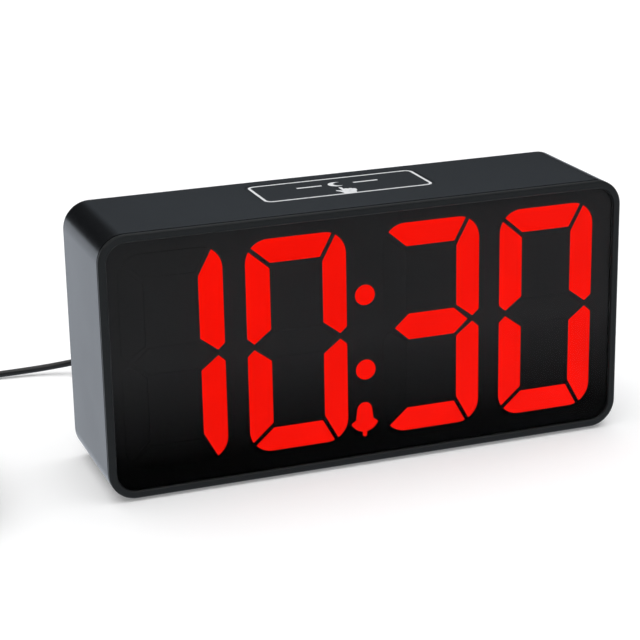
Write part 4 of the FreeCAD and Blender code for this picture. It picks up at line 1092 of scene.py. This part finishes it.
def make_screw(x, y0, y1, z):
    """A pan head with a cross recess."""
    let_go()
    bpy.ops.mesh.primitive_cylinder_add(
        vertices=40, radius=HEAD_R * MM, depth=y1 - y0,
        location=(x, (y0 + y1) / 2, z), rotation=(math.pi / 2, 0, 0),
    )
    screw = named("cover_screw_1")
    open_mesh(screw)
    pick_faces(screw, lambda middle, normal: normal.y > 0.9)
    bpy.ops.mesh.region_to_loop()
    bpy.ops.mesh.bevel(offset=HEAD_EDGE * MM, segments=5, affect="EDGES")
    close_mesh()
    for cutter in cross_cutter(x, y1, z):
        take(screw)
        cut = screw.modifiers.new("recess", "BOOLEAN")
        cut.operation = "DIFFERENCE"
        cut.object = cutter
        bpy.ops.object.modifier_apply(modifier=cut.name)
        bpy.data.objects.remove(cutter)
    even_shading(screw)
    return screw


def make_screws():
    """Four screws at the corners of the rear cover."""
    low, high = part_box("cover_screws")
    radius = HEAD_R * MM
    x0, x1, z0, z1 = low.x + radius, high.x - radius, low.z + radius, high.z - radius
    first = make_screw(x0, COVER_FACE, high.y, z0)
    places = ((x1 - x0, 0), (0, z1 - z0), (x1 - x0, z1 - z0))
    screws = [first]
    for number, (dx, dz) in enumerate(places):
        copy = placed("cover_screw_" + str(number + 2), first.data.copy())
        copy.data.transform(Matrix.Translation((dx, 0, dz)))
        screws.append(copy)
    for screw in screws:
        dress(screw, FINISHES["steel_bright"], "clock")
        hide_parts("cover_screws")


# ---- plug, reliefs and adapter

# The plug's grip: its bore, where its ribs start and end, their number and height.
GRIP_BORE = 1.0
RIBS_FROM, RIBS_TO = 4.0, 10.6
RIBS = 4
RIB_HIGH = 0.4

# Shares of the ribs' pitch.
RIB_SHARE = 0.5
RIB_SLOPE = 0.12

# The strain reliefs: collar, length without rings, number of rings, how far the end and the
# grooves stand off the lead, and the lip.
COLLAR = 1.6
RELIEF_PLAIN = 2.6
RELIEF_RINGS = 5
RELIEF_END = 0.45
RELIEF_GROOVE = 0.25
RELIEF_LIP = 0.15

# The adapter: its edges, and the parting groove between its halves.
ADAPTER_EDGE = 2.6
PARTING = 11
PARTING_HALF = 0.35
PARTING_REACH = 0.3
PARTING_DEEP = 0.5


def along_y(box):
    """A round piece's ends and radius in millimetres, and its middle (x, z)."""
    low, high = box
    middle = (low + high) / 2
    return low.y / MM, high.y / MM, (high.z - low.z) / 2 / MM, (middle.x, middle.z)


def ribbed(first, last, count, r_out, r_in):
    """The (radius, y) points of a row of ribs with grooves between them."""
    points = []
    pitch = (last - first) / count
    slope = pitch * RIB_SLOPE
    for number in range(count):
        start = first + number * pitch
        groove = start + pitch * RIB_SHARE
        points += [(r_out, start), (r_out, groove)]
        points += [(r_in, groove + slope), (r_in, start + pitch - slope)]
    points.append((r_out, last))
    return points


def make_plug():
    """The moulded plug grip, with finger ribs."""
    y0, y1, r, middle = along_y(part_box("plug_body"))
    profile = [(GRIP_BORE, y0), (r - 0.7, y0), (r - 0.2, y0 + 0.2), (r, y0 + 0.7)]
    profile += ribbed(y0 + RIBS_FROM, y0 + RIBS_TO, RIBS, r, r - RIB_HIGH)
    profile += [(r, y1 - 2.2), (r - 0.5, y1 - 0.9), (r - 1.3, y1), (GRIP_BORE, y1)]
    grip = turned("plug_grip", profile, middle, 40)
    dress(grip, FINISHES["cord_jacket"], "clock")
    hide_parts("plug_body")
    return grip


def make_relief(node, name):
    """A tapered sleeve on the lead, slit by rings so that it bends."""
    y0, y1, wide, middle = along_y(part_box(node))
    thin = CORD_R + RELIEF_END
    bore = CORD_R * 0.9
    groove = CORD_R + RELIEF_GROOVE
    profile = [(bore, y0), (wide, y0), (wide, y0 + COLLAR)]
    pitch = (y1 - y0 - RELIEF_PLAIN) / RELIEF_RINGS
    for number in range(RELIEF_RINGS):
        start = y0 + COLLAR + number * pitch
        r0 = wide + (thin - wide) * (start - y0) / (y1 - y0)
        r1 = wide + (thin - wide) * (start + pitch - y0) / (y1 - y0)
        profile += [(groove, start + RELIEF_LIP), (groove, start + pitch * 0.4)]
        profile += [((r0 + r1) / 2, start + pitch * 0.5), (r1, start + pitch)]
    profile += [(thin - RELIEF_LIP, y1), (bore, y1)]
    sleeve = turned(name, profile, middle)
    dress(sleeve, FINISHES["cord_jacket"], "clock")
    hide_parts(node)
    return sleeve


def make_adapter():
    """The wall adapter: two moulded halves with a parting groove."""
    low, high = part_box("power_adapter")
    shell = new_box("adapter_shell", (low + high) / 2, high - low)
    open_mesh(shell, "EDGE")
    pick_all()
    bpy.ops.mesh.bevel(offset=ADAPTER_EDGE * MM, segments=5, affect="EDGES")
    seam = low.x + PARTING * MM
    for side in (-PARTING_HALF * MM, PARTING_HALF * MM):
        pick_all()
        bpy.ops.mesh.bisect(plane_co=(seam + side, 0, 0), plane_no=(1, 0, 0))
    bpy.ops.mesh.select_mode(type="FACE")
    bpy.ops.mesh.select_all(action="DESELECT")
    pick_faces(shell, lambda place, normal: abs(place.x - seam) < PARTING_REACH * MM)
    inwards = {"value": -PARTING_DEEP * MM}
    bpy.ops.mesh.extrude_region_shrink_fatten(TRANSFORM_OT_shrink_fatten=inwards)
    close_mesh()
    outward(shell)
    even_shading(shell)
    dress(shell, FINISHES["adapter_texture"], "clock")
    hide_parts("power_adapter")
    return shell


# The strips in the charging socket, below the shell's top and behind the tongue's end.
STRIPS_ACROSS = (-3.5, -1.0, 1.0, 3.5)
STRIP_WIDE = 1.0
STRIP_LONG = 7.6
STRIP_THICK = 0.16
STRIP_EDGE = 0.06
STRIP_BELOW = 2.9
STRIP_IN = 0.4


def make_charging_contacts():
    """Four plated strips on the underside of the charging socket's tongue."""
    low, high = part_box("usb_tongue")
    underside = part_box("usb_shell")[1].z - STRIP_BELOW * MM
    length = STRIP_LONG * MM
    for number, across in enumerate(STRIPS_ACROSS):
        x = (low.x + high.x) / 2 + across * MM
        place = (x, high.y - STRIP_IN * MM - length / 2, underside)
        size = (STRIP_WIDE * MM, length, STRIP_THICK * MM)
        strip = new_box("socket_contact_" + str(number + 1), place, size)
        rounded_edges(strip, STRIP_EDGE * MM, 2)
        dress(strip, FINISHES["brass_nickel"], "clock")


# ---- studio


# The floor. It lies a hair below the feet and fades between two distances in metres.
FLOOR_BELOW = 0.05
FLOOR_NEAR = (0.8, 0.8, 0.8)
FLOOR_FAR = (0.02, 0.02, 0.02)
FADE_FROM, FADE_TO = 0.4, 1.6
LEAST_GLOW = 0.22
MIRRORED_FLOOR = (0.85, 0.91, 1.0)

WHITE = (1.0, 1.0, 1.0)
NO_LIGHT = (0.0, 0.0, 0.0)

# Lamps: place, aim and size in metres, and power in watts.
LAMPS = {
    "overhead_box": ((0.05, 0.1, 1.5), (0, 0, 0), 2.6, 28),
    "front_fill": ((-0.7, -1.3, 1.1), (0, 0, 0.03), 1.0, 6),
}

# What mirrors show of the air, from the horizon to straight up, and the grey card.
AIR = (
    (0.0, (0.015, 0.015, 0.016)),
    (0.4, (0.02, 0.022, 0.024)),
    (0.7, (0.05, 0.05, 0.052)),
    (0.85, (0.9, 0.9, 0.92)),
    (1.0, WHITE),
)
GREY_CARD = (0.40, 0.455, 0.51)


def light_studio():
    """A pale floor that keeps the clock's shadow, the air, and the lamps."""
    let_go()
    bpy.ops.mesh.primitive_plane_add(size=60, location=(0, 0, -FLOOR_BELOW * MM))
    floor = named("studio_floor")
    paper = Finish("floor_paper")
    paths = add(paper.tree, "ShaderNodeLightPath").outputs
    mirrored = paths["Is Glossy Ray"]
    seen = calc(paper.tree, "MAXIMUM", paths["Is Camera Ray"], paths["Is Transmission Ray"])
    reach = add(paper.tree, "ShaderNodeVectorMath", operation="LENGTH")
    paper.tree.links.new(paper.place, reach.inputs[0])
    away = paper.spread(reach.outputs["Value"], FADE_FROM, FADE_TO)
    glow = paper.spread(away, 0.0, 1.0, LEAST_GLOW, 1.0)
    straight = calc(paper.tree, "MULTIPLY", seen, glow)
    paper.feed("Emission Strength", calc(paper.tree, "MAXIMUM", straight, mirrored))
    paper.feed("Emission Color", paper.blend(mirrored, WHITE, MIRRORED_FLOOR))
    lit = paper.blend(away, FLOOR_NEAR, FLOOR_FAR)
    paper.feed("Base Color", paper.blend(mirrored, lit, NO_LIGHT))
    paper.plain(Roughness=0.9, Specular_IOR_Level=0.0)
    floor.data.materials.append(paper.material)

    light_air()
    for name, lamp in LAMPS.items():
        soft_box(name, *lamp)


def light_air():
    """White air for the eye. For mirrors, dim air with a low grey card and a bright top."""
    world = bpy.data.worlds.new("studio_air")
    bpy.context.scene.world = world
    world.use_nodes = True
    tree = world.node_tree
    facing = add(tree, "ShaderNodeTexCoord").outputs["Generated"]
    parts = reading(tree, "ShaderNodeSeparateXYZ", facing)
    ramp = add(tree, "ShaderNodeValToRGB")
    tree.links.new(parts.outputs["Z"], ramp.inputs["Fac"])
    while len(ramp.color_ramp.elements) < len(AIR):
        ramp.color_ramp.elements.new(0.5)
    for element, (where, colour) in zip(ramp.color_ramp.elements, AIR):
        element.position = where
        element.color = (*colour, 1)
    foot = spread(tree, parts.outputs["Z"], 0.25, 0.30)
    head = spread(tree, parts.outputs["Z"], 0.34, 0.40, 1.0, 0.0)
    side = spread(tree, parts.outputs["X"], 0.0, 0.25)
    card = calc(tree, "MULTIPLY", calc(tree, "MULTIPLY", foot, head), side)
    air = blend_colours(tree, card, ramp.outputs["Color"], GREY_CARD)
    paths = add(tree, "ShaderNodeLightPath").outputs
    seen = calc(tree, "MAXIMUM", paths["Is Camera Ray"], paths["Is Transmission Ray"])
    backdrop = tree.nodes["Background"]
    tree.links.new(blend_colours(tree, seen, air, WHITE), backdrop.inputs["Color"])
    backdrop.inputs["Strength"].default_value = 1.0


def soft_box(name, place, aim, size, power):
    """A square lamp that faces its aim."""
    lamp = bpy.data.lights.new(name, "AREA")
    lamp.size = size
    lamp.energy = power
    holder = placed(name, lamp)
    holder.location = place
    holder.rotation_euler = (Vector(aim) - Vector(place)).to_track_quat("-Z", "Y").to_euler()


# ---- assembly of the scene


def main():
    set_camera()
    dress_nodes()
    lead = make_lead(FINISHES["cord_jacket"])
    make_shells()
    open_seam()
    make_window()
    make_window_border()
    make_charging_contacts()
    make_key_outline()
    make_key_marks()
    make_rear_marks()
    make_screws()
    plug = make_plug()
    plug_relief = make_relief("plug_strain_relief", "plug_relief")
    adapter_relief = make_relief("adapter_strain_relief", "adapter_relief")
    adapter = make_adapter()
    # These would show as dark smudges in the sleeve's side.
    for piece in (lead, adapter, adapter_relief, bpy.data.objects["lead_strap"]):
        piece.visible_glossy = False
    light_studio()
    bpy.context.scene.view_settings.view_transform = "Standard"


main()
